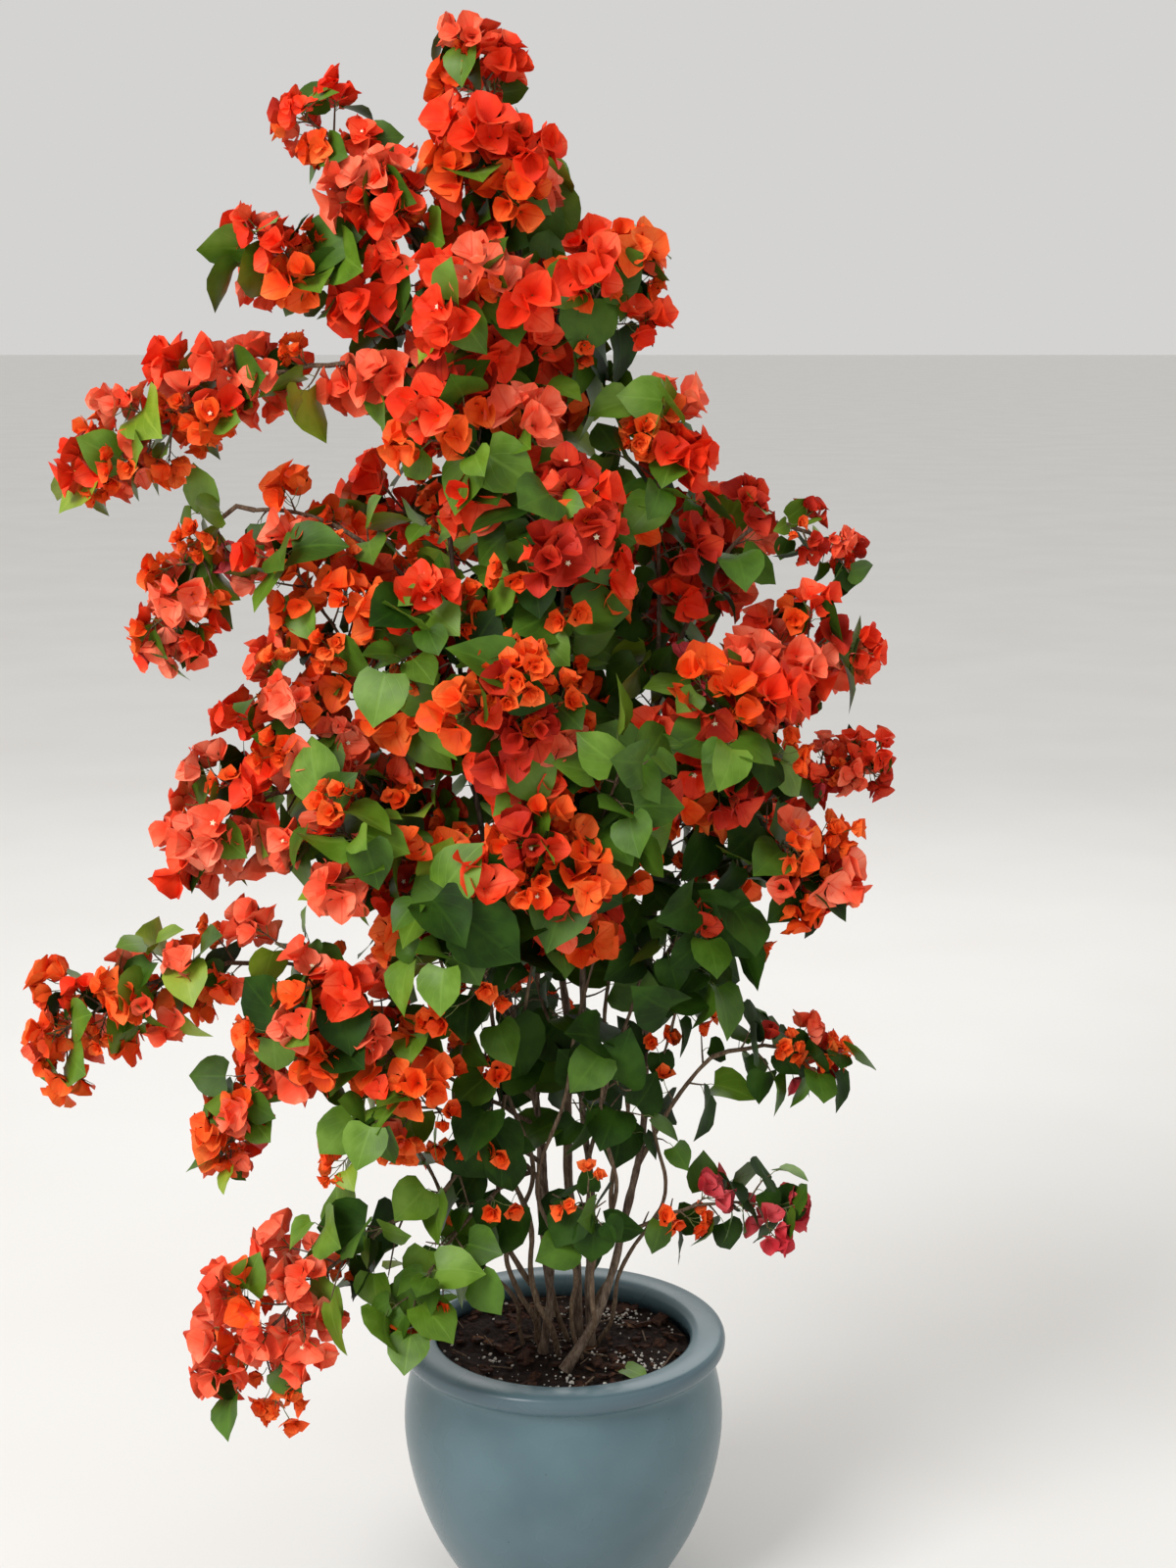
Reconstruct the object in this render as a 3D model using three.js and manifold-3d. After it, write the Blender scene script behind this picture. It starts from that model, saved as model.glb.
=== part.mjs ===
// A bougainvillea bush grown as a tall column in a glazed pot: the pot, its potting mix, five woody
// stems, the main boughs, and masses of leaves and papery bracts. Each is a solid of its own.
// Millimetres, +Z up. The origin is the middle of the pot's underside, and -Y is the front.

import * as THREE from "three";
import Module from "manifold-3d";

const wasm = await Module();
wasm.setup();

// Every two solids stay this far apart, and a twig or leaf keeps a little more from what it misses.
const CLEAR = 0.3;
const SPARE = 0.5;

// Pot, from its foot to the rolled rim.
const POT_HEIGHT = 360;
const FOOT_RADIUS = 112;
const FOOT_CHAMFER = 6;
const BELLY_RADIUS = 208;
const BELLY_HEIGHT = 245;
const NECK_RADIUS = 193;
const NECK_HEIGHT = 322;
const RIM_ROLL = 14;
const RIM_RADIUS = 210;
const MOUTH_RADIUS = 164;
const RIM_EDGE = 4;
const WALL = 12;
const FLOOR = 16;
const SHOULDER = 0.88;
const SHOULDER_HEIGHT = 0.48;
const INNER_SHOULDER_HEIGHT = 0.42;
const POT_SIDES = 32;
const WALL_STEPS = 7;
const RIM_POINTS = 6;

// Potting mix: its level top is below the rim.
const SOIL_TOP = 335;
const SOIL_SIDES = 32;

// Woody parts.
const STEM_SIDES = 6;
const STEM_STEPS = 14;
const STEPS_TO_FOOT = 1.25;
const STEM_TIP_RADIUS = 3.6;
const FLARE = 0.5;
const FLARE_HEIGHT = 28;
const WOBBLE = 7;
const WOBBLE_LENGTH = 330;
const WOBBLE_START = 0.17;
const BOUGH_SIDES = 5;
const BOUGH_STEPS = 6;
const BOUGH_RADIUS = 4.6;
const BOUGH_TIP_RADIUS = 3.4;
const SPINE_TIP_RADIUS = 3;
const SPINE_SIDES = 4;
const TWIG_SIDES = 3;
const TWIG_RADIUS = 2;
const STALK_RADIUS = 0.9;

// Leaves and blooms, larger than life: each leaf stands for a few, and each bloom for a cluster.
const LEAF_LENGTH = 114;
const LEAF_WIDTH = 0.74;
const LEAF_WAIST = 0.4;
const LEAF_THICKNESS = 5;
const BLOOM_RADIUS = 68;
const BLOOM_WAIST = 0.42;
const BLOOM_THICKNESS = 10;
const BRACTS_PER_BLOOM = 3;

// The growth rule of a mass. Places and reaches are shares of the spine, the twig or the girth.
const MIDDLE_X = -20;
const MOSTLY = 0.5;
const TWIG_SPACING = 84;
const FIRST_TWIG = 0.16;
const LAST_TWIG = 0.97;
const PAST_TIP = 8;
const TWIG_LEAST = 0.5;
const TWIG_SPREAD = 0.35;
const STALK_PLACES = [0.35, 0.6];
const STALK_LENGTH = 0.3;
const STALK_FORWARD = 0.5;
const STALK_RISE = 0.3;
const STALK_BLOOMS = 0.6;
const BLOOM_SWING = 0.3;
const BLOOM_AWAY = 0.6;
const LEAF_SWING = 0.5;
const LEAF_LIFT = 0.5;
const LEAF_FALL = 0.7;
const SIZE_SPREAD = 0.3;
const GOLDEN_ANGLE = THREE.MathUtils.degToRad(137.5);
const TWIG_LEAN = THREE.MathUtils.degToRad(58);
const SPACE_SAMPLES = 9;
const SPINE_STEP = 70;
const ATTEMPTS = 6;
const SHRINK = 0.09;
const REACH = 1.15;
const HALVINGS = 20;
const SMALLEST_DETAIL = 0.1;

const UP = new THREE.Vector3(0, 0, 1);
const FORWARD = new THREE.Vector3(0, -1, 0.4).normalize();
const LIMB_SIDE = new THREE.Vector3(0.31, 1, 0.17);
const BLOOM_SIDE = new THREE.Vector3(0.2, 0.3, 1);

const GLAZE = material(0x5f7f89, 0.18, 0);
const POTTING_MIX = material(0x3a2a20, 0.95, 0);
const BARK = material(0x6e6254, 0.85, 0);
const FOLIAGE = material(0x3f7a34, 0.55, 0);
const BRACTS = material(0xe2512f, 0.6, 0);

// Stems: the radius of each at its foot, where it stands in the mix, and the points that it passes.
const STEMS = [
  {
    name: "stem_leader",
    radius: 8,
    through: [[18, 30], [8, 25, 640], [-14, 10, 1050], [-42, 0, 1450], [-50, 0, 1800]],
  },
  {
    name: "stem_left",
    radius: 7,
    through: [[-26, -22], [-14, -30, 520], [-62, -40, 800], [-110, -40, 1100], [-135, -30, 1400]],
  },
  {
    name: "stem_right",
    radius: 7.5,
    through: [[2, -78], [62, -52, 440], [94, -42, 620], [112, -30, 900], [118, -20, 1330]],
  },
  {
    name: "stem_back",
    radius: 6.5,
    through: [[-14, 92], [-38, 96, 620], [-22, 112, 920], [6, 112, 1200], [6, 80, 1500]],
  },
  {
    name: "stem_front",
    radius: 6.5,
    through: [[36, 2], [30, -30, 620], [20, -80, 900], [0, -95, 1180], [-14, -80, 1420]],
  },
];

// Boughs: the limb and height each leaves from, where it ends, and how much it arches.
const BOUGHS = [
  ["bough_left_top", "stem_leader", 1455, [-228, -65, 1590], 18],
  ["bough_left_cane", "stem_left", 1260, [-360, -75, 1420], 45],
  ["bough_left_middle", "stem_left", 930, [-270, -110, 1090], 20],
  ["bough_left_low", "stem_left", 680, [-330, -135, 885], 30],
  ["bough_foot_left", "stem_left", 560, [-150, -150, 590], 55],
  ["bough_right_cane", "stem_right", 1180, [235, -45, 1400], 40],
  ["bough_right_middle", "stem_right", 820, [225, -80, 985], 25],
  ["bough_right_low", "stem_right", 590, [185, -65, 745], 15],
  ["bough_back_right", "stem_back", 880, [190, 110, 1060], 25],
].map(([name, on, leaves, to, arch]) => ({ name, on, leaves, to, arch }));

// Masses: the limb and height each leaves from, where its spine ends, how much that spine arches,
// the girth of its space, its share of blooms, and the size of its blades beside the usual.
const TIP = undefined;
const MASSES = [
  ["tip_spray", "stem_leader", TIP, [-100, -5, 1946], 0, 62, 0.8, 0.8],
  ["top_bloom", "stem_leader", 1700, [-78, -70, 1830], 0, 112, 0.9, 1],
  ["top_left_spray", "stem_leader", 1610, [-285, -40, 1862], 25, 55, 0.75, 0.8],
  ["top_left_bloom", "stem_leader", 1560, [-195, -70, 1765], 0, 82, 0.85, 1],
  ["high_left_spray", "stem_leader", 1480, [-325, -60, 1715], 30, 70, 0.6, 1],
  ["upper_front", "stem_leader", 1500, [-100, -140, 1665], 0, 92, 0.75, 1],
  ["upper_right", "stem_leader", 1520, [58, -60, 1692], 0, 90, 0.8, 1],
  ["upper_back", "stem_back", TIP, [-30, 95, 1680], 0, 112, 0.55, 1],
  ["left_top_spray", "bough_left_top", TIP, [-524, -80, 1480], 30, 66, 0.85, 0.95],
  ["left_cane_spray", "bough_left_cane", TIP, [-455, -80, 1285], 50, 55, 0.9, 0.85],
  ["middle_front_high", "stem_front", 1380, [-105, -165, 1520], 0, 84, 0.5, 1],
  ["middle_right_high", "stem_right", TIP, [112, -80, 1505], 0, 90, 0.55, 1],
  ["middle_band", "stem_front", 1240, [8, -185, 1415], 0, 98, 0.6, 1],
  ["right_cane_spray", "bough_right_cane", TIP, [330, -40, 1362], 15, 42, 0.6, 0.55],
  ["left_wall_high", "stem_left", 1090, [-305, -110, 1345], -20, 96, 0.9, 1],
  ["left_wall_low", "stem_left", 960, [-320, -125, 1195], -10, 92, 0.9, 1],
  ["inner_left_high", "stem_left", 1120, [-165, -170, 1300], 0, 92, 0.2, 1],
  ["right_wall_high", "stem_right", 1080, [305, -60, 1255], 20, 84, 0.7, 1],
  ["right_wall_low", "stem_right", 980, [205, -150, 1190], 0, 96, 0.75, 1],
  ["centre_bloom", "stem_front", 1040, [-52, -255, 1225], 0, 86, 0.95, 1],
  ["centre_leaves", "stem_front", 960, [66, -225, 1130], 0, 86, 0.05, 1],
  ["far_right_spray", "stem_right", 930, [375, -10, 1115], 35, 42, 0.6, 0.6],
  ["left_cluster", "bough_left_middle", TIP, [-420, -120, 1050], 15, 90, 0.85, 1],
  ["inner_left", "stem_left", 850, [-250, -205, 1060], 0, 92, 0.5, 1],
  ["right_cluster", "bough_right_middle", TIP, [300, -85, 1000], 25, 92, 0.85, 1],
  ["centre_low_bloom", "stem_front", 870, [-18, -240, 1045], 0, 78, 0.9, 1],
  ["heart_leaves", "stem_left", 770, [-120, -255, 965], 0, 92, 0.05, 1.1],
  ["right_leaves", "stem_right", 760, [165, -130, 930], 0, 92, 0.15, 1],
  ["left_tip_spray", "bough_left_low", TIP, [-604, -140, 797], 28, 66, 0.85, 0.85],
  ["left_low_bloom", "stem_left", 640, [-285, -200, 830], 10, 108, 0.75, 1],
  ["left_low_inner", "stem_left", 590, [-195, -200, 730], 20, 86, 0.4, 1],
  ["left_hanging_spray", "bough_left_low", 860, [-400, -140, 665], 60, 48, 0.9, 0.75],
  ["centre_low_leaves", "stem_front", 600, [62, -130, 760], 0, 88, 0.05, 1],
  ["right_low_spray", "bough_right_low", TIP, [315, -62, 748], 12, 56, 0.3, 0.8],
  ["foot_left_leaves", "bough_foot_left", 588, [-172, -215, 500], 26, 78, 0.1, 1],
  ["foot_left_bloom", "bough_foot_left", TIP, [-366, -232, 438], 24, 98, 0.9, 1],
  ["foot_right_spray", "stem_right", 500, [255, -62, 550], 20, 60, 0.35, 0.8],
  ["foot_leaves", "stem_front", 470, [30, -125, 575], 0, 66, 0.25, 0.8],
  ["back_left_high", "stem_back", 1230, [-200, 150, 1400], 0, 112, 0.6, 1],
  ["back_right_high", "stem_back", 1200, [170, 140, 1350], 0, 112, 0.6, 1],
  ["back_middle", "stem_back", 980, [-30, 226, 1170], 0, 108, 0.6, 1],
  ["back_left_low", "stem_back", 820, [-235, 150, 1000], 0, 108, 0.55, 1],
  ["back_right_low", "bough_back_right", TIP, [245, 150, 1000], 25, 100, 0.6, 1],
  ["back_low", "stem_back", 640, [-20, 220, 800], 0, 104, 0.35, 1],
].map(([name, on, leaves, to, arch, girth, bloom, size]) => {
  return { name, on, leaves, to, arch, girth, bloom, size };
});

function material(color, roughness, metalness) {
  return new THREE.MeshStandardMaterial({ color, roughness, metalness });
}

function vector([x, y, z]) {
  return new THREE.Vector3(x, y, z);
}

// Evenly spread numbers from 0 to 1, always the same for one seed.
function seeded(seed) {
  let state = (seed * 2654435761) >>> 0;
  return () => {
    state = (state + 0x6d2b79f5) >>> 0;
    let mixed = Math.imul(state ^ (state >>> 15), 1 | state);
    mixed = (mixed + Math.imul(mixed ^ (mixed >>> 7), 61 | mixed)) ^ mixed;
    return ((mixed ^ (mixed >>> 14)) >>> 0) / 4294967296;
  };
}

function solid(points, triangles) {
  const vertProperties = new Float32Array(points.flatMap((point) => point.toArray()));
  const triVerts = new Uint32Array(triangles.flat());
  return new wasm.Manifold(new wasm.Mesh({ numProp: 3, vertProperties, triVerts }));
}

// A ring of corners round a centre, square to the axis, the first corner on the side given.
function ring(centre, axis, side, radius, sides) {
  const other = axis.clone().cross(side);
  return Array.from({ length: sides }, (unused, corner) => {
    const angle = (2 * Math.PI * corner) / sides;
    const point = centre.clone().addScaledVector(side, radius * Math.cos(angle));
    return point.addScaledVector(other, radius * Math.sin(angle));
  });
}

function squareTo(side, axis) {
  return side.clone().addScaledVector(axis, -side.dot(axis)).normalize();
}

// A closed skin over rings of corners, which may grow in number: flat at the first ring, and flat or
// drawn to a point at the last.
function lofted(rings, tip) {
  const points = rings.flat();
  const triangles = [];
  let low = 0;
  for (let level = 0; level < rings.length - 1; level += 1) {
    const below = rings[level].length;
    const above = rings[level + 1].length;
    const high = low + below;
    let left = 0;
    let right = 0;
    while (left < below || right < above) {
      const from = low + (left % below);
      const to = high + (right % above);
      if (right >= above || (left < below && (left + 0.5) * above <= (right + 0.5) * below)) {
        left += 1;
        triangles.push([from, low + (left % below), to]);
      } else {
        right += 1;
        triangles.push([from, high + (right % above), to]);
      }
    }
    low = high;
  }
  const sides = rings[0].length;
  for (let corner = 1; corner < sides - 1; corner += 1) triangles.push([0, corner + 1, corner]);
  const last = rings.at(-1).length;
  if (tip) {
    const apex = points.push(tip) - 1;
    for (let corner = 0; corner < last; corner += 1) {
      triangles.push([low + corner, low + ((corner + 1) % last), apex]);
    }
  } else {
    for (let corner = 1; corner < last - 1; corner += 1) {
      triangles.push([low, low + corner, low + corner + 1]);
    }
  }
  return solid(points, triangles);
}

// A tapering limb along its centres.
function limb(centres, radii, sides, firstAxis) {
  let side = LIMB_SIDE;
  const rings = centres.map((centre, index) => {
    const before = centres[Math.max(index - 1, 0)];
    const after = centres[Math.min(index + 1, centres.length - 1)];
    const axis = index === 0 && firstAxis ? firstAxis : after.clone().sub(before).normalize();
    side = squareTo(side, axis);
    return ring(centre, axis, side, radii[index], sides);
  });
  return lofted(rings);
}

// A blade on its stalk, whole and without the stalk.
function stalked(start, end, axis, side, radius, outline, tip) {
  const foot = ring(start, axis, side, radius, TWIG_SIDES);
  const neck = ring(end, axis, side, radius, TWIG_SIDES);
  return { whole: lofted([foot, neck, outline], tip), blade: lofted([neck, outline], tip) };
}

// A leaf on its stalk: a ridged blade that swells from the stalk's end and runs out to a point.
function leaf(start, end, thick, along, facing, length) {
  const axis = end.clone().sub(start).normalize();
  const normal = squareTo(facing, along);
  const side = normal.clone().cross(along);
  const stalkSide = squareTo(side, axis);
  const middle = end.clone().addScaledVector(along, LEAF_WAIST * length);
  const half = (LEAF_WIDTH * length) / 2;
  const widest = [
    middle.clone().addScaledVector(side, half),
    middle.clone().addScaledVector(normal, LEAF_THICKNESS / 2),
    middle.clone().addScaledVector(side, -half),
    middle.clone().addScaledVector(normal, -LEAF_THICKNESS / 2),
  ];
  return stalked(start, end, axis, stalkSide, thick, widest, end.clone().addScaledVector(along, length));
}

// Three bracts on their stalk, as a three-pointed star that faces away from it.
function bloom(start, end, thick, facing, turn, radius) {
  const axis = end.clone().sub(start).normalize();
  const side = squareTo(BLOOM_SIDE, facing).applyAxisAngle(facing, turn);
  const stalkSide = squareTo(side, axis);
  const outline = ring(end, facing, side, radius, 2 * BRACTS_PER_BLOOM).map((corner, index) => {
    return index % 2 === 0 ? corner : corner.lerp(end, 1 - BLOOM_WAIST);
  });
  const under = end.clone().addScaledVector(facing, -BLOOM_THICKNESS / 2);
  const over = end.clone().addScaledVector(facing, BLOOM_THICKNESS / 2);
  return stalked(start, under, axis, stalkSide, thick, outline, over);
}

// The curve from one point to another whose middle is raised by the arch.
function arched(start, end, arch) {
  const middle = start.clone().lerp(end, 0.5).addScaledVector(UP, 2 * arch);
  return new THREE.QuadraticBezierCurve3(start, middle, end);
}

function taper(from, to, count) {
  return Array.from({ length: count }, (unused, index) => from + ((to - from) * index) / (count - 1));
}

function pointAtHeight(curve, height) {
  let low = 0;
  let high = 1;
  for (let halving = 0; halving < HALVINGS; halving += 1) {
    const share = (low + high) / 2;
    if (curve.getPointAt(share).z < height) low = share;
    else high = share;
  }
  return curve.getPointAt(low);
}

// The stem's own curve, with a slow wobble from side to side that its straight course lacks.
function stemCurve({ through }, index) {
  const points = through.map(([x, y, z = SOIL_TOP + CLEAR]) => new THREE.Vector3(x, y, z));
  const smooth = new THREE.CatmullRomCurve3(points);
  const steps = taper(0, 1, STEM_STEPS + 1).map((share) => {
    const point = smooth.getPointAt(share);
    const phase = (2 * Math.PI * (point.z - SOIL_TOP)) / WOBBLE_LENGTH + index;
    const sway = WOBBLE * Math.min(1, share / WOBBLE_START) * (1 - share);
    return point.add(new THREE.Vector3(sway * Math.sin(phase), sway * Math.cos(phase), 0));
  });
  return new THREE.CatmullRomCurve3(steps);
}

function stemRadius(radius, height, share) {
  const flare = 1 + FLARE * Math.exp(-height / FLARE_HEIGHT);
  return (radius + (STEM_TIP_RADIUS - radius) * share) * flare;
}

// Limbs by name, each with its axis, and both its solid and a copy that is fatter by the clearance.
const limbs = new Map();
const solids = new Map();

function addLimb(name, curve, shares, radii, sides, firstAxis) {
  const centres = shares.map((share) => curve.getPointAt(share));
  const fatter = radii.map((radius) => radius + CLEAR / Math.cos(Math.PI / sides));
  const past = centres.at(-1).clone().addScaledVector(curve.getTangentAt(1), CLEAR);
  const fat = limb([...centres.slice(0, -1), past], fatter, sides, firstAxis);
  limbs.set(name, { curve, fat, tipRadius: radii.at(-1) });
  return limb(centres, radii, sides, firstAxis);
}

function largest(shape) {
  const parts = shape.decompose();
  return parts.reduce((best, part) => (part.volume() > best.volume() ? part : best));
}

// The start of an arm, on its carrier's axis: at that height, or at the tip.
function startOn({ on, leaves }) {
  const carrier = limbs.get(on).curve;
  return leaves === undefined ? carrier.getPointAt(1) : pointAtHeight(carrier, leaves);
}

function growStems() {
  STEMS.forEach((stem, index) => {
    const curve = stemCurve(stem, index);
    const shares = taper(0, 1, STEM_STEPS + 1).map((share) => Math.pow(share, STEPS_TO_FOOT));
    const radii = shares.map((share) => {
      const height = curve.getPointAt(share).z - SOIL_TOP;
      return stemRadius(stem.radius, height, share);
    });
    solids.set(stem.name, addLimb(stem.name, curve, shares, radii, STEM_SIDES, UP));
  });
}

function growBoughs() {
  BOUGHS.forEach((bough) => {
    const curve = arched(startOn(bough), vector(bough.to), bough.arch);
    const shares = taper(0, 1, BOUGH_STEPS + 1);
    const radii = taper(BOUGH_RADIUS, BOUGH_TIP_RADIUS, BOUGH_STEPS + 1);
    const shape = addLimb(bough.name, curve, shares, radii, BOUGH_SIDES);
    solids.set(bough.name, largest(shape.subtract(limbs.get(bough.on).fat)));
  });
}

// A mass's spine, as a curve, as a solid clear of its limb, and as points that its space is
// measured from.
function spineOf(mass) {
  const carrier = limbs.get(mass.on);
  const curve = arched(startOn(mass), vector(mass.to), mass.arch);
  const steps = Math.max(3, Math.round(curve.getLength() / SPINE_STEP));
  const centres = taper(0, 1, steps + 1).map((share) => curve.getPointAt(share));
  const thick = Math.min(carrier.tipRadius, BOUGH_TIP_RADIUS);
  const whole = limb(centres, taper(thick, SPINE_TIP_RADIUS, steps + 1), SPINE_SIDES);
  const spine = largest(whole.subtract(carrier.fat));
  const samples = taper(0, 1, SPACE_SAMPLES).map((share) => curve.getPointAt(share));
  return { ...mass, curve, spine, samples };
}

function remoteness(point, mass) {
  const nearest = Math.min(...mass.samples.map((sample) => sample.distanceTo(point)));
  return nearest / mass.girth;
}

// Level, and away from the line up the middle of the plant.
function awayFromMiddle(point) {
  return new THREE.Vector3(point.x - MIDDLE_X, point.y, 0).normalize();
}

function boxesMeet(a, b) {
  return [0, 1, 2].every((axis) => a.min[axis] < b.max[axis] + CLEAR && b.min[axis] < a.max[axis] + CLEAR);
}

function boxed(shape) {
  return { shape, box: shape.boundingBox() };
}

function isFree(piece, others) {
  const { box } = boxed(piece);
  return others.every((other) => !boxesMeet(box, other.box) || piece.minGap(other.shape, SPARE) >= SPARE);
}

function sameSpace(point, mass, masses) {
  const own = remoteness(point, mass);
  return own <= REACH && masses.every((other) => other === mass || remoteness(point, other) >= own);
}

// One leaf or bloom at the end of a stalk, of a size and turn drawn by lot. It faces away from the
// middle of the plant, and its middle says whose space it is in.
function drawBlade(isBloom, start, axis, thick, outward, reach, scale, random) {
  const size = scale * (1 - SIZE_SPREAD / 2 + SIZE_SPREAD * random());
  const swing = outward.clone().applyAxisAngle(axis, (random() - 0.5) * Math.PI);
  const end = start.clone().addScaledVector(axis, reach);
  const away = awayFromMiddle(end);
  if (isBloom) {
    const facing = axis.clone().addScaledVector(swing, BLOOM_SWING).addScaledVector(away, BLOOM_AWAY);
    facing.normalize();
    const grown = bloom(start, end, thick, facing, 2 * Math.PI * random(), BLOOM_RADIUS * size);
    return { ...grown, end, middle: end };
  }
  const fall = -LEAF_FALL * random();
  const along = axis.clone().addScaledVector(swing, LEAF_SWING).addScaledVector(UP, fall).normalize();
  const length = LEAF_LENGTH * size;
  const grown = leaf(start, end, thick, along, away.addScaledVector(UP, LEAF_LIFT), length);
  return { ...grown, end, middle: end.clone().addScaledVector(along, LEAF_WAIST * length) };
}

// Side twigs leave the spine at the golden angle. Each ends in a leaf or a bloom, and bears two
// more on stalks along it. One that would leave the mass's space, or touch another solid or another
// blade of the mass, is tried again shorter, and in the end skipped.
function growMass(mass, index, masses, others) {
  const random = seeded(index + 1);
  const spine = boxed(mass.spine);
  const pieces = [mass.spine];
  const obstacles = [...others];

  const growBlade = (start, axis, thick, outward, reach, share, carriers) => {
    const isBloom = random() < share;
    for (let attempt = 0; attempt < ATTEMPTS; attempt += 1) {
      const shrink = 1 - SHRINK * attempt;
      const scale = mass.size * shrink;
      const drawn = drawBlade(isBloom, start, axis, thick, outward, reach * shrink, scale, random);
      if (!sameSpace(drawn.middle, mass, masses)) continue;
      if (!isFree(drawn.blade, carriers) || !isFree(drawn.whole, obstacles)) continue;
      pieces.push(drawn.whole);
      return { box: boxed(drawn.whole), end: drawn.end };
    }
    return undefined;
  };

  const shareOfTwigs = LAST_TWIG - FIRST_TWIG;
  const twigCount = Math.max(2, Math.round((mass.curve.getLength() * shareOfTwigs) / TWIG_SPACING) + 1);
  let azimuth = 2 * Math.PI * random();
  for (let twig = 0; twig < twigCount; twig += 1) {
    azimuth += GOLDEN_ANGLE;
    const share = FIRST_TWIG + (shareOfTwigs * (twig + 0.5)) / twigCount;
    const start = mass.curve.getPointAt(share);
    const tangent = mass.curve.getTangentAt(share);
    const across = UP.clone().cross(tangent).normalize();
    const outward = across.applyAxisAngle(tangent, azimuth);
    const turned = outward.clone().multiplyScalar(Math.sin(TWIG_LEAN));
    const axis = turned.addScaledVector(tangent, Math.cos(TWIG_LEAN));
    const reach = mass.girth * (TWIG_LEAST + TWIG_SPREAD * random());
    const main = growBlade(start, axis, TWIG_RADIUS, outward, reach, mass.bloom, [spine]);
    if (!main) continue;
    const added = [main.box];
    STALK_PLACES.forEach((place, order) => {
      const from = start.clone().lerp(main.end, place);
      const sideways = outward.clone().cross(axis).normalize().multiplyScalar(order === 0 ? -1 : 1);
      const stalk = sideways.clone().addScaledVector(axis, STALK_FORWARD);
      stalk.addScaledVector(UP, STALK_RISE * random()).normalize();
      const length = STALK_LENGTH * mass.girth;
      const carriers = [spine, ...added];
      const blooms = STALK_BLOOMS * mass.bloom;
      const second = growBlade(from, stalk, STALK_RADIUS, sideways, length, blooms, carriers);
      if (second) added.push(second.box);
    });
    obstacles.push(...added);
  }
  const before = mass.curve.getPointAt(LAST_TWIG);
  const last = mass.curve.getPointAt(1).distanceTo(before) + PAST_TIP;
  growBlade(before, mass.curve.getTangentAt(1), TWIG_RADIUS, FORWARD, last, mass.bloom, []);
  return largest(wasm.Manifold.union(pieces)).simplify(SMALLEST_DETAIL);
}

function growMasses() {
  const masses = MASSES.map(spineOf);
  masses.forEach((mass, index) => {
    const spines = masses.slice(index + 1).map((other) => other.spine);
    const others = [...solids.values(), ...spines].map(boxed);
    solids.set(mass.name, growMass(mass, index, masses, others));
  });
}

// The cavity's outline from the floor up to the mouth, drawn in by a margin.
function cavityOutline(margin) {
  const inner = new THREE.SplineCurve([
    new THREE.Vector2(FOOT_RADIUS - WALL, FLOOR),
    new THREE.Vector2(SHOULDER * BELLY_RADIUS - WALL, INNER_SHOULDER_HEIGHT * BELLY_HEIGHT),
    new THREE.Vector2(BELLY_RADIUS - WALL, BELLY_HEIGHT),
    new THREE.Vector2(NECK_RADIUS - WALL, NECK_HEIGHT),
    new THREE.Vector2(MOUTH_RADIUS, POT_HEIGHT - RIM_ROLL),
  ]);
  return inner.getPoints(WALL_STEPS).map((point) => new THREE.Vector2(point.x - margin, point.y));
}

function pot() {
  const wall = new THREE.SplineCurve([
    new THREE.Vector2(FOOT_RADIUS + FOOT_CHAMFER, FOOT_CHAMFER),
    new THREE.Vector2(SHOULDER * BELLY_RADIUS, SHOULDER_HEIGHT * BELLY_HEIGHT),
    new THREE.Vector2(BELLY_RADIUS, BELLY_HEIGHT),
    new THREE.Vector2(NECK_RADIUS, NECK_HEIGHT),
  ]);
  const rim = taper(-Math.PI / 2, Math.PI / 2, RIM_POINTS).map((angle) => {
    const radius = RIM_RADIUS - RIM_ROLL + RIM_ROLL * Math.cos(angle);
    return new THREE.Vector2(radius, POT_HEIGHT - RIM_ROLL + RIM_ROLL * Math.sin(angle));
  });
  const profile = [
    new THREE.Vector2(0, 0),
    new THREE.Vector2(FOOT_RADIUS, 0),
    ...wall.getPoints(WALL_STEPS),
    ...rim,
    new THREE.Vector2(MOUTH_RADIUS + RIM_EDGE, POT_HEIGHT - RIM_EDGE),
    ...cavityOutline(0).reverse(),
    new THREE.Vector2(0, FLOOR),
  ];
  return new THREE.LatheGeometry(profile, POT_SIDES);
}

function soil() {
  const sides = cavityOutline(SPARE).filter((point) => point.y < SOIL_TOP);
  const floor = FLOOR + CLEAR;
  sides[0].y = floor;
  const top = new THREE.Vector2(MOUTH_RADIUS, SOIL_TOP);
  const profile = [new THREE.Vector2(0, floor), ...sides, top, new THREE.Vector2(0, SOIL_TOP)];
  return new THREE.LatheGeometry(profile, SOIL_SIDES);
}

function geometryOf(shape) {
  const mesh = shape.getMesh();
  const geometry = new THREE.BufferGeometry();
  geometry.setAttribute("position", new THREE.BufferAttribute(mesh.vertProperties, mesh.numProp));
  geometry.setIndex(new THREE.BufferAttribute(mesh.triVerts, 1));
  return geometry;
}

function addMesh(parent, name, geometry, finish) {
  const mesh = new THREE.Mesh(geometry, finish);
  mesh.name = name;
  parent.add(mesh);
}

function finishOf(name) {
  const mass = MASSES.find((entry) => entry.name === name);
  if (!mass) return BARK;
  return mass.bloom > MOSTLY ? BRACTS : FOLIAGE;
}

const group = new THREE.Group();

// A lathe turns about Y, so the pot and its mix are stood up.
const potted = new THREE.Group();
potted.rotation.x = Math.PI / 2;
group.add(potted);
addMesh(potted, "pot", pot(), GLAZE);
addMesh(potted, "soil", soil(), POTTING_MIX);

growStems();
growBoughs();
growMasses();
solids.forEach((shape, name) => addMesh(group, name, geometryOf(shape), finishOf(name)));

export default group;
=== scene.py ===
import itertools
import math
import random

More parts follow.
